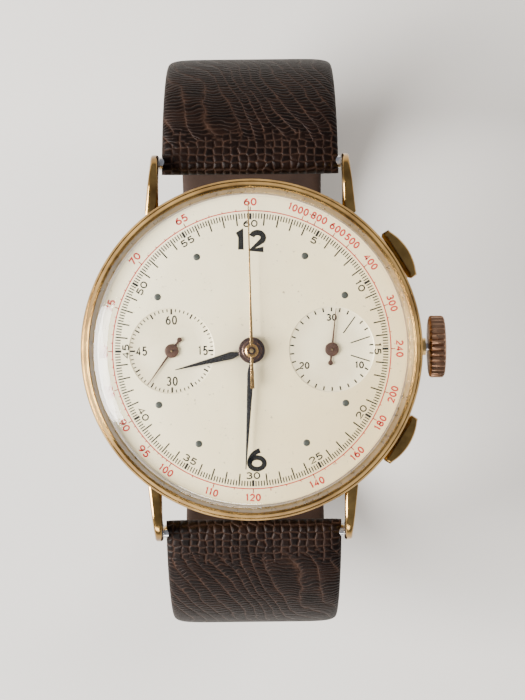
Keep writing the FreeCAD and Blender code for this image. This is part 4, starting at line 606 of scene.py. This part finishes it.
def build_plate():
    """The dial's plate with its openings for the two registers and the hands' pipes."""
    thick = 0.17
    holes = [(-REGISTER_X, REGISTER_R, 96), (REGISTER_X, REGISTER_R, 96), (0, 1.0, 48)]
    plate = bpy.data.curves.new("dial_outline", "CURVE")
    plate.dimensions = "2D"
    plate.fill_mode = "BOTH"
    plate.extrude = thick * MM
    for cx, radius, count in [(0, DIAL_RADIUS, 256)] + holes:
        spline = plate.splines.new("POLY")
        spline.points.add(count - 1)
        for k, point in enumerate(spline.points):
            angle = 360 * k / count
            point.co = ((cx + radius * cos_d(angle)) * MM, radius * sin_d(angle) * MM, 0, 1)
        spline.use_cyclic_u = True
    curve = add_object("dial_outline", plate)
    flat = bpy.data.meshes.new_from_object(curve.evaluated_get(bpy.context.evaluated_depsgraph_get()))
    bpy.data.objects.remove(curve)
    lift = Vector((0, 0, DIAL_TOP - thick))
    face = Shape()
    face.add([v.co / MM + lift for v in flat.vertices], [list(p.vertices) for p in flat.polygons])

    low, top, rim = DIAL_TOP - REGISTER_DROP, DIAL_TOP, REGISTER_R
    profile = [(0.31, low - 0.2), (0.31, low), (1.5, low), (3.0, low), (rim - 0.12, low)]
    profile += [(rim - 0.05, low + 0.03), (rim - 0.01, top - 0.01), (rim + 0.02, top + 0.004)]
    profile += [(rim + 0.06, top - 0.004), (rim + 0.06, low - 0.2)]
    for slot, side in ((1, -1), (2, 1)):
        lathe(face, profile, 128, (side * REGISTER_X, 0), slot)
    face.build("dial_face", "case", [DIAL, REGISTER_LEFT, REGISTER_RIGHT], "dial_cream", ["dial"], 50)


def tick(shape, outer, inner, clockwise, width, level, x=0.0):
    stroke(shape, [on_circle(outer, clockwise, x), on_circle(inner, clockwise, x)], width, level)


def print_black():
    """The fifths-of-a-second track with its figures, the twelve and the six."""
    black, level = Shape(), DIAL_TOP
    for k in range(300):
        if k % 25 == 0:
            inner, width = 14.5, 0.26
        elif k % 5 == 0:
            inner, width = 13.85, 0.155
        else:
            inner, width = 14.6, 0.13
        tick(black, TRACK_R, inner, k * 1.2, width, level)
    for second in range(5, 61, 5):
        angle = second * 6
        x, y = on_circle(14.0 if second != 60 else 14.05, angle)
        number(black, str(second), x, y, readable(angle), 0.80, 0.19, level, 0.92, 0.40)
    number(black, "12", 0.0, 12.1, 0, 2.5, 0.25, level, 0.70, 0.46)
    number(black, "6", 0.45, -12.2, 0, 2.7, 0.20, level, 0.77)
    print_registers(black, DIAL_TOP - REGISTER_DROP)
    black.build("dial_print_black", "case", [INK_BLACK], "black_steel", sharp=20)


def print_registers(black, low):
    """Sixty seconds on the left, thirty minutes with three long strokes on the right."""
    for side in (-1, 1):
        rim = [on_circle(REGISTER_R - 0.07, a * 3, side * REGISTER_X) for a in range(121)]
        stroke(black, rim, 0.03, low)
    for k in range(60):
        inner, width = (4.05, 0.20) if k % 15 == 0 else (4.1, 0.17) if k % 5 == 0 else (4.33, 0.12)
        tick(black, REGISTER_TRACK_R, inner, k * 6, width, low, -REGISTER_X)
    for second, dx, dy in ((60, 0, 3.42), (15, 3.5, 0), (30, 0, -3.38), (45, -3.35, 0)):
        number(black, str(second), -REGISTER_X + dx, dy, 0, 1.05, 0.155, low, 0.46, 0.32)
    for k in range(30):
        outer, inner, width = (4.45, 2.2, 0.13) if k in (3, 6, 9) else (REGISTER_TRACK_R, 4.2, 0.16)
        tick(black, outer, inner, k * 12, width, low, REGISTER_X)
    for minute in (30, 10, 20):
        x, y = on_circle(3.55, minute * 12, REGISTER_X)
        number(black, str(minute), x, y, 0, 0.80, 0.20, low, 0.62, 0.34)


def build_dots():
    """A raised dot at each hour but those that the figures and the registers take."""
    dots, level = Shape(), DIAL_TOP
    profile = [(0, level - 0.05), (0.38, level - 0.05), (0.38, level + 0.02), (0.33, level + 0.05)]
    profile += [(0.2, level + 0.07), (0, level + 0.075)]
    for hour in (1, 2, 4, 5, 7, 8, 10, 11):
        lathe(dots, profile, 32, on_circle(12.0, hour * 30), closed=False)
    dots.build("dial_hour_dots", "case", [INK_DOT], "black_steel")


def print_red():
    """The tachymeter: the speed for a measured distance covered in that many seconds."""
    red, level = Shape(), DIAL_TOP
    values = [1000, 800, 600, 500, 400, 300, 240, 200, 180, 160, 140, 120, 110] + list(range(100, 59, -5))
    nudge = {1000: -2.6, 800: 0.6}

    def heading(value):
        return 3600 / value * 6

    stroke(red, [on_circle(SCALE_R, a * 1.5) for a in range(241)], 0.12, level)
    for value in values:
        angle = heading(value)
        x, y = on_circle(16.45, angle + nudge.get(value, 0))
        wide = 0.74 if value < 100 else 0.60
        number(red, str(value), x, y, readable(angle), 0.86, 0.20, level, wide, 0.36)
        tick(red, SCALE_R, 15.95, angle, 0.10, level)
    tick(red, 16.33, 16.47, 23.9, 0.14, level)
    scales = [(60, 100, 1), (100, 160, 5), (160, 200, 10), (200, 300, 20), (300, 500, 50), (500, 1000, 100)]
    for start, stop, step in scales:
        for value in range(start, stop, step):
            reach = 15.82 if value % (5 * step) == 0 else 15.68
            tick(red, SCALE_R, reach, heading(value), 0.09, level)
    red.build("dial_print_red", "case", [INK_RED], "dial_cream", sharp=20)


# ---- hands
def leaf(tip, tip_half, wide_at, wide_half, neck_at, neck_half, steps=14):
    """Half-outline of a leaf hand from its neck to its tip, mirrored into a closed outline."""
    upper = [(neck_at, neck_half)]
    for k in range(1, steps + 1):
        t = k / steps
        ease = t * t * (3 - 2 * t)
        upper.append((neck_at + (wide_at - neck_at) * t, neck_half + (wide_half - neck_half) * ease))
    for k in range(1, steps + 1):
        t = k / steps
        upper.append((wide_at + (tip - wide_at) * t, wide_half + (tip_half - wide_half) * t ** 0.92))
    return [(x, -y) for x, y in upper] + [(tip + tip_half, 0)] + upper[::-1]


def collar(top, *corners):
    """A hand's hub in section: (radius, height above the blade's underside) corners, some rounded."""
    return rounded([(radius, top + height, *rest) for radius, height, *rest in corners], steps=4)


def build_hands():
    blade = 0.15
    hour, top = Shape(), DIAL_TOP + 0.45
    slab(hour, leaf(8.75, 0.045, 2.45, 0.43, 1.25, 0.15), top, top + blade, 0.05, turned_by(HOUR_HEADING))
    lathe(hour, collar(top, (0.92, -0.02), (1.47, -0.02), (1.47, 0.22, 0.08), (0.92, 0.22)), 64, slot=1)
    hour.build("hour_hand_blade", "hour_works", [BLACK_STEEL, HUB_STEEL], "black_steel", ["hour_hand"])

    minute, top = Shape(), DIAL_TOP + 0.85
    slab(minute, leaf(13.2, 0.06, 2.7, 0.39, 1.0, 0.14), top, top + blade, 0.05, turned_by(MINUTE_HEADING))
    ring = collar(top, (0.64, -0.02), (1.12, -0.02), (1.12, 0.2, 0.03), (1.0, 0.3, 0.05), (0.64, 0.3))
    lathe(minute, ring, 64, slot=1)
    materials = [BLACK_STEEL, HUB_BROWN]
    minute.build("minute_hand_blade", "minute_works", materials, "black_steel", ["minute_hand"])

    sweep, top = Shape(), DIAL_TOP + 1.35
    edge = [(0.5, 0.185), (5.5, 0.11), (16.35, 0.06)]
    outline = [(-4.2, -0.22), (-0.5, -0.13)] + [(x, -y) for x, y in edge]
    outline += [(16.4, 0)] + edge[::-1] + [(-0.5, 0.13), (-4.2, 0.22)]
    slab(sweep, outline, top, top + 0.12, 0.035, turned_by(SWEEP_HEADING))
    ring = collar(top, (0.24, -0.06), (0.74, -0.06), (0.74, 0.2, 0.06), (0.56, 0.27, 0.04), (0.42, 0.27),
                  (0.36, 0.16), (0.24, 0.16))
    lathe(sweep, ring, 64)
    lathe(sweep, collar(top, (0, 0.12), (0.235, 0.12), (0.235, 0.36, 0.08), (0, 0.38)), 32, closed=False)
    lathe(sweep, collar(top, (0.24, 0.14), (0.37, 0.14), (0.37, 0.172), (0.24, 0.172)), 48, slot=1)
    materials = [HAND_GOLD, HUB_STEEL]
    sweep.build("chronograph_hand_blade", "runner", materials, "hand_gold", ["chronograph_seconds_hand"])

    for name, cad, body, side, heading in (
        ("small_seconds_blade", "small_seconds_hand", "fourth_works", -1, -125.7),
        ("recorder_blade", "minute_recorder_hand", "recorder", 1, 83.6),
    ):
        hand, top = Shape(), DIAL_TOP + 0.1
        centre = (side * REGISTER_X, 0)
        turn = turned_by(heading, *centre)
        needle = [(0.3, -0.13), (4.55, -0.035), (4.6, 0), (4.55, 0.035), (0.3, 0.13)]
        tail = [(-0.4, -0.16), (-0.4, 0.16), (-1.2, 0.11)]
        tail += bow(-1.52, 0, 0.28, 0.28, 40, 320, 16) + [(-1.2, -0.11)]
        for outline in (needle, tail):
            slab(hand, outline, top, top + 0.09, 0.025, turn)
        ring = collar(top, (0.115, -0.02), (0.78, -0.02), (0.78, 0.16, 0.07), (0.3, 0.2), (0.115, 0.2))
        lathe(hand, ring, 64, centre)
        rivet = collar(top, (0, 0.1), (0.112, 0.1), (0.112, 0.26), (0.06, 0.3), (0, 0.31))
        lathe(hand, rivet, 24, centre, closed=False)
        hand.build(name, body, [BROWN_STEEL], "brown_steel", [cad])


# ---- case, crystal, crown and pushers
def build_bezel():
    top = BEZEL_TOP
    rebate = 18.13
    profile = [
        (BEZEL_INNER + 0.02, NECK_TOP + 0.03),
        (rebate, NECK_TOP + 0.03),
        (rebate, BEZEL_FOOT),
        (BEZEL - 0.04, BEZEL_FOOT, 0.04),
        (BEZEL, top - 0.95, 0.2),
        (BEZEL - 0.24, top - 0.62, 0.12),
        (BEZEL - 0.31, top - 0.66, 0.04),
        (BEZEL - 0.62, top - 0.2, 0.3),
        (BEZEL_INNER + 0.24, top - 0.04, 0.08),
        (BEZEL_INNER + 0.18, top - 0.1, 0.03),
        (BEZEL_INNER + 0.12, top, 0.05),
        (BEZEL_INNER + 0.03, top - 0.08, 0.04),
        (BEZEL_INNER, top - 0.3),
    ]
    bezel = Shape()
    lathe(bezel, rounded(profile, True, 8), 256)
    bezel.build("bezel_ring", "case", [SHADED_GOLD], "case_gold", ["bezel"])


def build_crystal():
    out, low, top = BEZEL_INNER - 0.03, NECK_TOP + 0.03, BEZEL_TOP
    outer = [(out, low), (out, top + 0.25, 0.3), (out - 0.5, top + 1.1, 0.9), (out - 2.2, top + 1.75, 3.0)]
    outer += [(8.0, 12.0, 10), (0, 12.1)]
    inner = [(0, 11.5), (8.0, 11.4, 10), (out - 2.5, top + 1.2, 2.0), (out - 1.0, top + 0.8, 0.7)]
    inner += [(out - 0.45, top + 0.1, 0.3), (out - 0.45, low)]
    crystal = Shape()
    lathe(crystal, rounded(outer, steps=8) + rounded(inner, steps=8), 192)
    crystal.build("crystal_dome", "case", [ACRYLIC], "acrylic", ["crystal"], 60)


def build_lugs():
    """Four slim lugs, broad at the case and narrow at the tip, each a side view cut to its width."""
    end, reach = LUG_END_R, BAR_Y
    inside = math.sqrt(BAND**2 - (LUG_GAP / 2) ** 2) - 0.25
    side = bow(reach, BAR_Z, end, end, 0, -180, 14)
    side += [(reach - end, BAR_Z + 0.3), (reach - 1.15, BAR_Z + 1.2), (reach - 1.7, BAR_Z + 2.0)]
    side += [(reach - 2.5, BAR_Z + 2.6), (inside, BAR_Z + 2.75), (inside, BAR_Z + 4.85)]
    side.append((reach - 2.7, BAR_Z + 4.85))
    side += bow(reach - 2.7, BAR_Z + 1.2, 3.65, 3.65, 80, 0, 12)
    near = LUG_GAP / 2
    lugs = Shape()
    for x_sign in (1, -1):
        for y_sign in (1, -1):
            turn = Matrix(((0, 0, x_sign, 0), (y_sign, 0, 0, 0), (0, 1, 0, 0), (0, 0, 0, 1)))
            first = len(lugs.points)
            slab(lugs, side, near, near + LUG_WIDTH, 0.3, turn, steps=4)
            for k in range(first, len(lugs.points)):
                x, y, z = lugs.points[k]
                share = min(max((abs(y) - inside) / (reach - inside), 0), 1)
                wider = 1.45 - 0.62 * share
                lugs.points[k] = (x_sign * (near + (abs(x) - near) * wider), y, z)
    lugs.build("lug_prongs", "case", [SHADED_GOLD], "case_gold", ["lugs"], outward=True)


def lying(turn, x=0.0):
    """Stands a shape's Z axis along the turned X axis, at the stem's height."""
    return turn @ Matrix.Translation((x, 0, STEM_Z)) @ Matrix.Rotation(math.radians(90), 4, "Y")


def build_crown():
    smooth, depth = CROWN_R - 0.75, 0.24

    def ripple(angle, radius, height):
        """The flutes: full depth at the rim, fading out on the two faces."""
        if radius < smooth:
            return radius
        wave = 0.5 + 0.5 * math.cos(angle * CROWN_FLUTES)
        return radius - depth * min(1, (radius - smooth) / 0.35) * (1 - wave ** 0.7)

    r, top = CROWN_R, CROWN_LENGTH
    profile = [(0.0, 0.0), (2.2, 0.0), (3.0, 0.06), (r - 0.12, 0.16), (r, 0.32), (r, top - 0.35)]
    profile += [(r - 0.08, top - 0.17), (r - 0.3, top - 0.04), (r - 0.6, top), (r - 1.0, top + 0.04)]
    profile += [(r - 1.6, top + 0.09), (1.0, top + 0.17), (0.0, top + 0.19)]
    crown = Shape()
    lathe(crown, profile, CROWN_FLUTES * 12, closed=False, matrix=lying(turned_by(0), CROWN_X), ripple=ripple)
    crown.build("crown_knob", "crown", [ROSE], "crown_gold", ["crown"], 45, outward=True)


def build_pushers():
    near, far, half, bend = PUSHER_NEAR, PUSHER_FAR, PUSHER_HALF, 6.2
    span = math.degrees(math.asin((half - 0.35) / bend))
    shoulder = far - bend * (1 - cos_d(span)) - 0.1
    outline = [(near, -half + 0.3), (near + 0.3, -half), (shoulder, -half + 0.02)]
    outline += bow(far - bend, 0, bend, bend, -span, span, 20)
    outline += [(shoulder, half - 0.02), (near + 0.3, half), (near, half - 0.3)]
    start = PUSHER_START
    shaft = [(0, start), (0.72, start), (0.8, start + 0.1), (0.8, near + 0.2), (0, near + 0.2)]
    low, high = STEM_Z - PUSHER_HEIGHT / 2, STEM_Z + PUSHER_HEIGHT / 2
    for body, heading in (("start_pusher", PUSHER_ANGLE), ("reset_pusher", -PUSHER_ANGLE)):
        pusher, turn = Shape(), turned_by(heading)
        slab(pusher, outline, low, high, 0.55, turn, steps=6)
        lathe(pusher, shaft, 48, closed=False, matrix=lying(turn))
        pusher.build(body + "_cap", body, [SHADED_GOLD], "case_gold", [body], outward=True)


# ---- strap
def strap_path(offset_layer, tail, flat_end):
    """Stations (y, z, heading, distance) on the strap's middle line, from its spring bar, for the half on
    the +Y side. heading is the angle of the outward normal from straight up."""
    stations, y, z, gone = [], BAR_Y, BAR_Z, 0.0
    step = 0.35

    def straight(length, angle):
        nonlocal y, z, gone
        count = max(1, int(length / step))
        for _ in range(count):
            y += cos_d(angle) * length / count
            z -= sin_d(angle) * length / count
            gone += length / count
            stations.append((y, z, angle, gone))

    def bend(radius, start, end):
        nonlocal y, z, gone
        length = radius * math.radians(abs(end - start))
        count = max(2, int(length / step))
        cy, cz = y - radius * sin_d(start), z - radius * cos_d(start)
        for k in range(1, count + 1):
            angle = start + (end - start) * k / count
            y, z = cy + radius * sin_d(angle), cz + radius * cos_d(angle)
            gone += length / count
            stations.append((y, z, angle, gone))

    stations.append((y, z, LAY_ANGLE, 0.0))
    bend(SHOULDER_BEND, LAY_ANGLE, 90)
    if offset_layer:
        straight(offset_layer, 90)
    bend(SIDE_BEND, 90, TURN_ANGLE)
    bend(FOOT_BEND, TURN_ANGLE, 180)
    straight(y - flat_end, 180)
    if tail:
        bend(FOOT_BEND + offset_layer, 180, 180 + (180 - TURN_ANGLE))
        bend(SIDE_BEND + offset_layer, 180 + (180 - TURN_ANGLE), 180 + (180 - TURN_ANGLE) + tail)
    return stations


def half_width(z):
    share = min(max((BAR_Z - z) / (BAR_Z - (FLAT_Z + 4)), 0), 1)
    return (STRAP_WIDE + (STRAP_NARROW - STRAP_WIDE) * share) / 2


def strap_rows(stations):
    """The stations with half the strap's thickness, begun by the round that wraps the spring bar."""
    rows = []
    for k in range(9):
        t = 90 * (1 - k / 9)
        back = STRAP_EYE_R * sin_d(t)
        y, z = BAR_Y - back * cos_d(LAY_ANGLE), BAR_Z + back * sin_d(LAY_ANGLE)
        rows.append((y, z, LAY_ANGLE, -back, max(STRAP_EYE_R * cos_d(t), 0.02)))
    for y, z, angle, gone in stations:
        share = min(gone / 11.0, 1)
        ease = share * share * (3 - 2 * share)
        rows.append((y, z, angle, gone, STRAP_EYE_R + (STRAP_THICK / 2 - STRAP_EYE_R) * ease))
    return rows


def strap_half(side, stations, tip_round):
    """A padded strap half: lizard outside, calf inside, thick where it wraps its spring bar."""
    rows = strap_rows(stations)
    total = stations[-1][3]
    columns = 44
    shares = [math.sin(math.pi / 2 * (2 * k / columns - 1)) for k in range(columns + 1)]
    points = []
    for y, z, angle, gone, thick in rows:
        wide = half_width(z)
        if tip_round and total - gone < tip_round:
            short = (tip_round - (total - gone)) / tip_round
            wide *= math.sqrt(max(1 - short ** 2.4, 0.0)) * 0.86 + 0.14 * (1 - short)
            wide = max(wide, 0.3)
            thick *= 1 - 0.25 * short
        pad = max(0.0, (thick - STRAP_THICK / 2)) / (STRAP_EYE_R - STRAP_THICK / 2)
        for share in shares:
            dome = (1 - abs(share) ** (9.0 - 4.0 * pad)) ** (1 / 2.4)
            out = thick * (0.25 + 0.75 * dome)
            points.append((share * wide, side * (y + sin_d(angle) * out), z + cos_d(angle) * out))
        for share in shares:
            flat = (1 - abs(share) ** 14) ** 0.5
            out = thick * (0.35 + 0.65 * flat)
            points.append((share * wide * 0.998, side * (y - sin_d(angle) * out), z - cos_d(angle) * out))
    width = columns + 1
    stride = 2 * width
    top_faces, top_uvs, low_faces, edge_faces = [], [], [], []
    for r in range(len(rows) - 1):
        a, b = r * stride, (r + 1) * stride
        (wa, va), (wb, vb) = [(half_width(row[1]), row[3]) for row in rows[r:r + 2]]
        for c in range(columns):
            left, right = side * shares[c], side * shares[c + 1]
            top_faces.append([a + c, a + c + 1, b + c + 1, b + c])
            top_uvs.append([(left * wa, va), (right * wa, va), (right * wb, vb), (left * wb, vb)])
            low_faces.append([a + width + c, b + width + c, b + width + c + 1, a + width + c + 1])
        edge_faces.append([a, b, b + width, a + width])
        edge_faces.append([a + columns, a + width + columns, b + width + columns, b + columns])
    for base, flip in ((0, False), ((len(rows) - 1) * stride, True)):
        for c in range(columns):
            face = [base + c, base + width + c, base + width + c + 1, base + c + 1]
            edge_faces.append(face[::-1] if flip else face)
    shape = Shape()
    shape.add(points, top_faces, 0, top_uvs)
    shape.add_plain(low_faces, 1)
    shape.add_plain(edge_faces, 2)
    return shape


def build_strap():
    for name, cad, side, stations, tip_round in (
        ("strap_twelve", "strap_short", 1, strap_path(0.0, 0, BUCKLE_Y), 0),
        ("strap_six", "strap_long", -1, strap_path(LAYER, TAIL_ANGLE, -FLAT_Y), 9.0),
    ):
        half = strap_half(side, stations, tip_round)
        half.build(name, "case", [LIZARD, SHADED_LINING, EDGE], "strap_leather", [cad], 60, outward=True)


def round_box(half, low, high, radius):
    """A box with rounded corners, as the keepers' section is seen along the strap."""
    corners = [(-half, low), (half, low), (half, high), (-half, high)]
    return rounded([(x, z, radius) for x, z in corners], True, 5)


def build_keepers():
    """Two loops round both strap ends, lizard outside and calf inside."""
    half = STRAP_NARROW / 2 + 0.1
    inner = round_box(half, KEEPER_LOW + KEEPER_WALL, KEEPER_TOP - KEEPER_WALL, 0.7)
    outer = round_box(half + KEEPER_WALL, KEEPER_LOW, KEEPER_TOP, 1.4)
    count = len(inner)
    length = [0.0]
    for k in range(count):
        length.append(length[-1] + (Vector(outer[(k + 1) % count]) - Vector(outer[k])).length)
    edge = KEEPER_WIDTH / 2
    profile = [(-edge + 0.35, 0.0), (-edge + 0.08, 0.16), (-edge, 0.4)]
    rows = sorted(profile + [(-p, inset) for p, inset in profile])
    faces, uvs, inside = [], [], []
    for r in range(len(rows) - 1):
        a, b = rows[r][0] + 20, rows[r + 1][0] + 20
        for k in range(count):
            n = (k + 1) % count
            faces.append([r * count + k, r * count + n, (r + 1) * count + n, (r + 1) * count + k])
            uvs.append([(length[k], a), (length[k + 1], a), (length[k + 1], b), (length[k], b)])
    last, near, far = [(len(rows) + k) * count for k in (-1, 0, 1)]
    for k in range(count):
        n = (k + 1) % count
        inside.append([k, near + k, near + n, n])
        inside.append([last + n, far + n, far + k, last + k])
        inside.append([near + k, far + k, far + n, near + n])

    fixed_at = BUCKLE_Y + KEEPER_OFFSET
    for name, body, cad, start in (
        ("keeper_fixed", "case", "fixed_keeper", fixed_at),
        ("keeper_free", "free_keeper", "free_keeper", fixed_at + KEEPER_WIDTH + KEEPER_SPACING),
    ):
        middle = start + edge
        points = []
        for p, inset in rows:
            for o, i in zip(outer, inner):
                q = Vector(o) + (Vector(i) - Vector(o)) * inset
                points.append((q.x, middle + p, q.y))
        for p in (-edge, edge):
            points += [(x, middle + p, z) for x, z in inner]
        loop = Shape()
        loop.add(points, faces, 0, uvs)
        loop.add_plain(inside, 1)
        loop.build(name, body, [LIZARD, EDGE], "strap_leather", [cad], 60, outward=True)


def build_buckle():
    """A squared wire frame that leans down round the strap's end, and its tongue on the same bar."""
    drop = BUCKLE_Z - (KEEPER_LOW + BUCKLE_WALL / 2 + 0.1 + 0.2)
    span = math.hypot(drop, BUCKLE_REACH)
    bar = Matrix.Translation((0, BUCKLE_Y, BUCKLE_Z))
    place = bar @ Matrix.Rotation(math.atan2(drop, BUCKLE_REACH), 4, "X")
    half = STRAP_NARROW / 2 + 0.35 + BUCKLE_WALL / 2
    corners = [(-half, 0.9), (-half, -span, 2.2), (half, -span, 2.2), (half, 0.9)]
    path = [Vector(p) for p in rounded(corners, steps=10)]
    path = [path[0].lerp(path[1], k / 8) for k in range(8)] + path[1:]
    rows, steps = [], 20
    for i, p in enumerate(path):
        along = (path[min(i + 1, len(path) - 1)] - path[max(i - 1, 0)]).normalized()
        row = []
        for k in range(steps):
            t = 2 * math.pi * k / steps
            section = [math.copysign(abs(v) ** 0.8, v) for v in (math.cos(t), math.sin(t))]
            wide, high = [BUCKLE_WALL / 2 * v for v in section]
            row.append(place @ Vector((p.x - along.y * wide, p.y + along.x * wide, high)))
        rows += row
    wire = Shape()
    wire.add(rows, tube_faces(len(path), steps))
    wire.build("buckle_wire", "case", [SHADED_GOLD], "buckle_gold", ["buckle_frame"], 50, outward=True)

    stretch = [(0.9, 0.5, 0.0), (-2.0, 0.5, 0.0), (-6.0, 0.48, 0.0), (-span + 0.8, 0.45, 0.0)]
    stretch += [(-span - 0.1, 0.42, 0.0), (-span - 0.4, 0.3, 0.05)]
    rows, steps = [], 14
    for y, half, lift in stretch:
        for k in range(steps):
            t = 2 * math.pi * k / steps
            rows.append(place @ Vector((half * math.cos(t), y, -0.25 + 0.68 * half * math.sin(t) + lift)))
    tongue = Shape()
    tongue.add(rows, tube_faces(len(stretch), steps))
    sleeve = rounded([(0.64, -0.9), (1.08, -0.9, 0.15), (1.08, 0.9, 0.15), (0.64, 0.9)], True, 4)
    lathe(tongue, sleeve, 40, matrix=bar @ Matrix.Rotation(math.radians(90), 4, "Y"))
    tongue.build("buckle_pin", "tongue", [SHADED_GOLD], "buckle_gold", ["buckle_tongue"], 50, outward=True)


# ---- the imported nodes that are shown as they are
CAD_FINISH = {
    "case_middle": GOLD_SATIN, "case_back": GOLD_SATIN, "case_tubes": GOLD_SATIN, "spring_bars": STEEL,
    "buckle_bar": STEEL, "jewels": RUBY,
}
BRASS_NODES = (
    "mainspring_barrel", "centre_wheel", "third_wheel", "fourth_wheel", "balance_wheel", "minute_wheel",
    "hour_wheel", "chronograph_runner", "minute_recorder", "recording_idler", "coupling_wheel",
)
PLATE_NODES = (
    "main_plate", "train_bridge", "barrel_bridge", "balance_cock", "pallet_bridge", "chronograph_bridge",
)


def finish_cad_nodes():
    for name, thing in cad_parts.items():
        if thing.hide_render:
            continue
        plain = BRASS if name in BRASS_NODES else NICKEL if name in PLATE_NODES else STEEL
        material = CAD_FINISH.get(name, plain)
        mesh = thing.data
        mesh.materials.clear()
        mesh.materials.append(material)
        mesh.polygons.foreach_set("use_smooth", [True] * len(mesh.polygons))
        weld = thing.modifiers.new("weld", "WELD")
        weld.merge_threshold = 1e-6
        split = thing.modifiers.new("edges", "EDGE_SPLIT")
        split.split_angle = math.radians(28)


# ---- stage, light and camera
FLOOR_HALF = 1.2
SKY_COLOUR = (0.86, 0.90, 1.0, 1)
SKY_STRENGTH = 0.38
CAMERA_PLACE = (1.32, 12.0, 258.0)
CAMERA_ROLL = -0.6
CAMERA_LENS = 115.8

# name, place and size in metres, watts, colour
LIGHTS = (
    ("window", (-0.42, -0.06, 0.30), (0.30, 0.36), 17.0, (1.0, 0.965, 0.92)),
    ("fill", (0.35, 0.25, 0.40), (0.30, 0.30), 3.8, (1.0, 0.92, 0.82)),
    ("low", (-0.10, -0.45, 0.16), (0.25, 0.12), 1.1, (1.0, 0.97, 0.93)),
)


def build_floor():
    floor = bpy.data.meshes.new("floor")
    half, low = FLOOR_HALF, (KEEPER_LOW - 0.02) * MM
    corners = [(-half, -half, low), (half, -half, low), (half, half, low), (-half, half, low)]
    floor.from_pydata(corners, [], [(0, 1, 2, 3)])
    floor.materials.append(floor_material())
    ground = add_object("floor", floor)


def build_lights():
    """A weak sky and three lamps, all turned to the watch's middle."""
    world = bpy.data.worlds.new("studio")
    bpy.context.scene.world = world
    world.use_nodes = True
    sky = world.node_tree.nodes["Background"]
    sky.inputs["Color"].default_value = SKY_COLOUR
    sky.inputs["Strength"].default_value = SKY_STRENGTH
    for name, place, size, watts, colour in LIGHTS:
        light = bpy.data.lights.new(name, "AREA")
        light.shape = "RECTANGLE"
        light.size, light.size_y = size
        light.energy = watts
        light.color = colour
        lamp = add_object(name, light)
        lamp.location = place
        lamp.rotation_mode = "QUATERNION"
        lamp.rotation_quaternion = (-Vector(place)).to_track_quat("-Z", "Y")
        # the fill is not mirrored in the crystal
        lamp.visible_glossy = name != "fill"


def build_camera():
    """Looks down on the dial from a little above twelve o'clock."""
    camera = bpy.data.cameras.new("camera")
    camera.sensor_width = 36.0
    camera.lens = CAMERA_LENS
    camera.clip_start, camera.clip_end = 0.01, 5.0
    eye = add_object("camera", camera)
    eye.location = Vector(CAMERA_PLACE) * MM
    lean = math.atan2(-CAMERA_PLACE[1], CAMERA_PLACE[2] - DIAL_TOP)
    eye.rotation_euler = (lean, 0, math.radians(CAMERA_ROLL))
    bpy.context.scene.camera = eye


for build in (
    build_plate, print_black, build_dots, print_red, build_hands, build_bezel, build_crystal, build_lugs,
    build_crown, build_pushers, build_strap, build_keepers, build_buckle, finish_cad_nodes,
    build_floor, build_lights, build_camera,
):
    build()
bpy.context.view_layer.update()
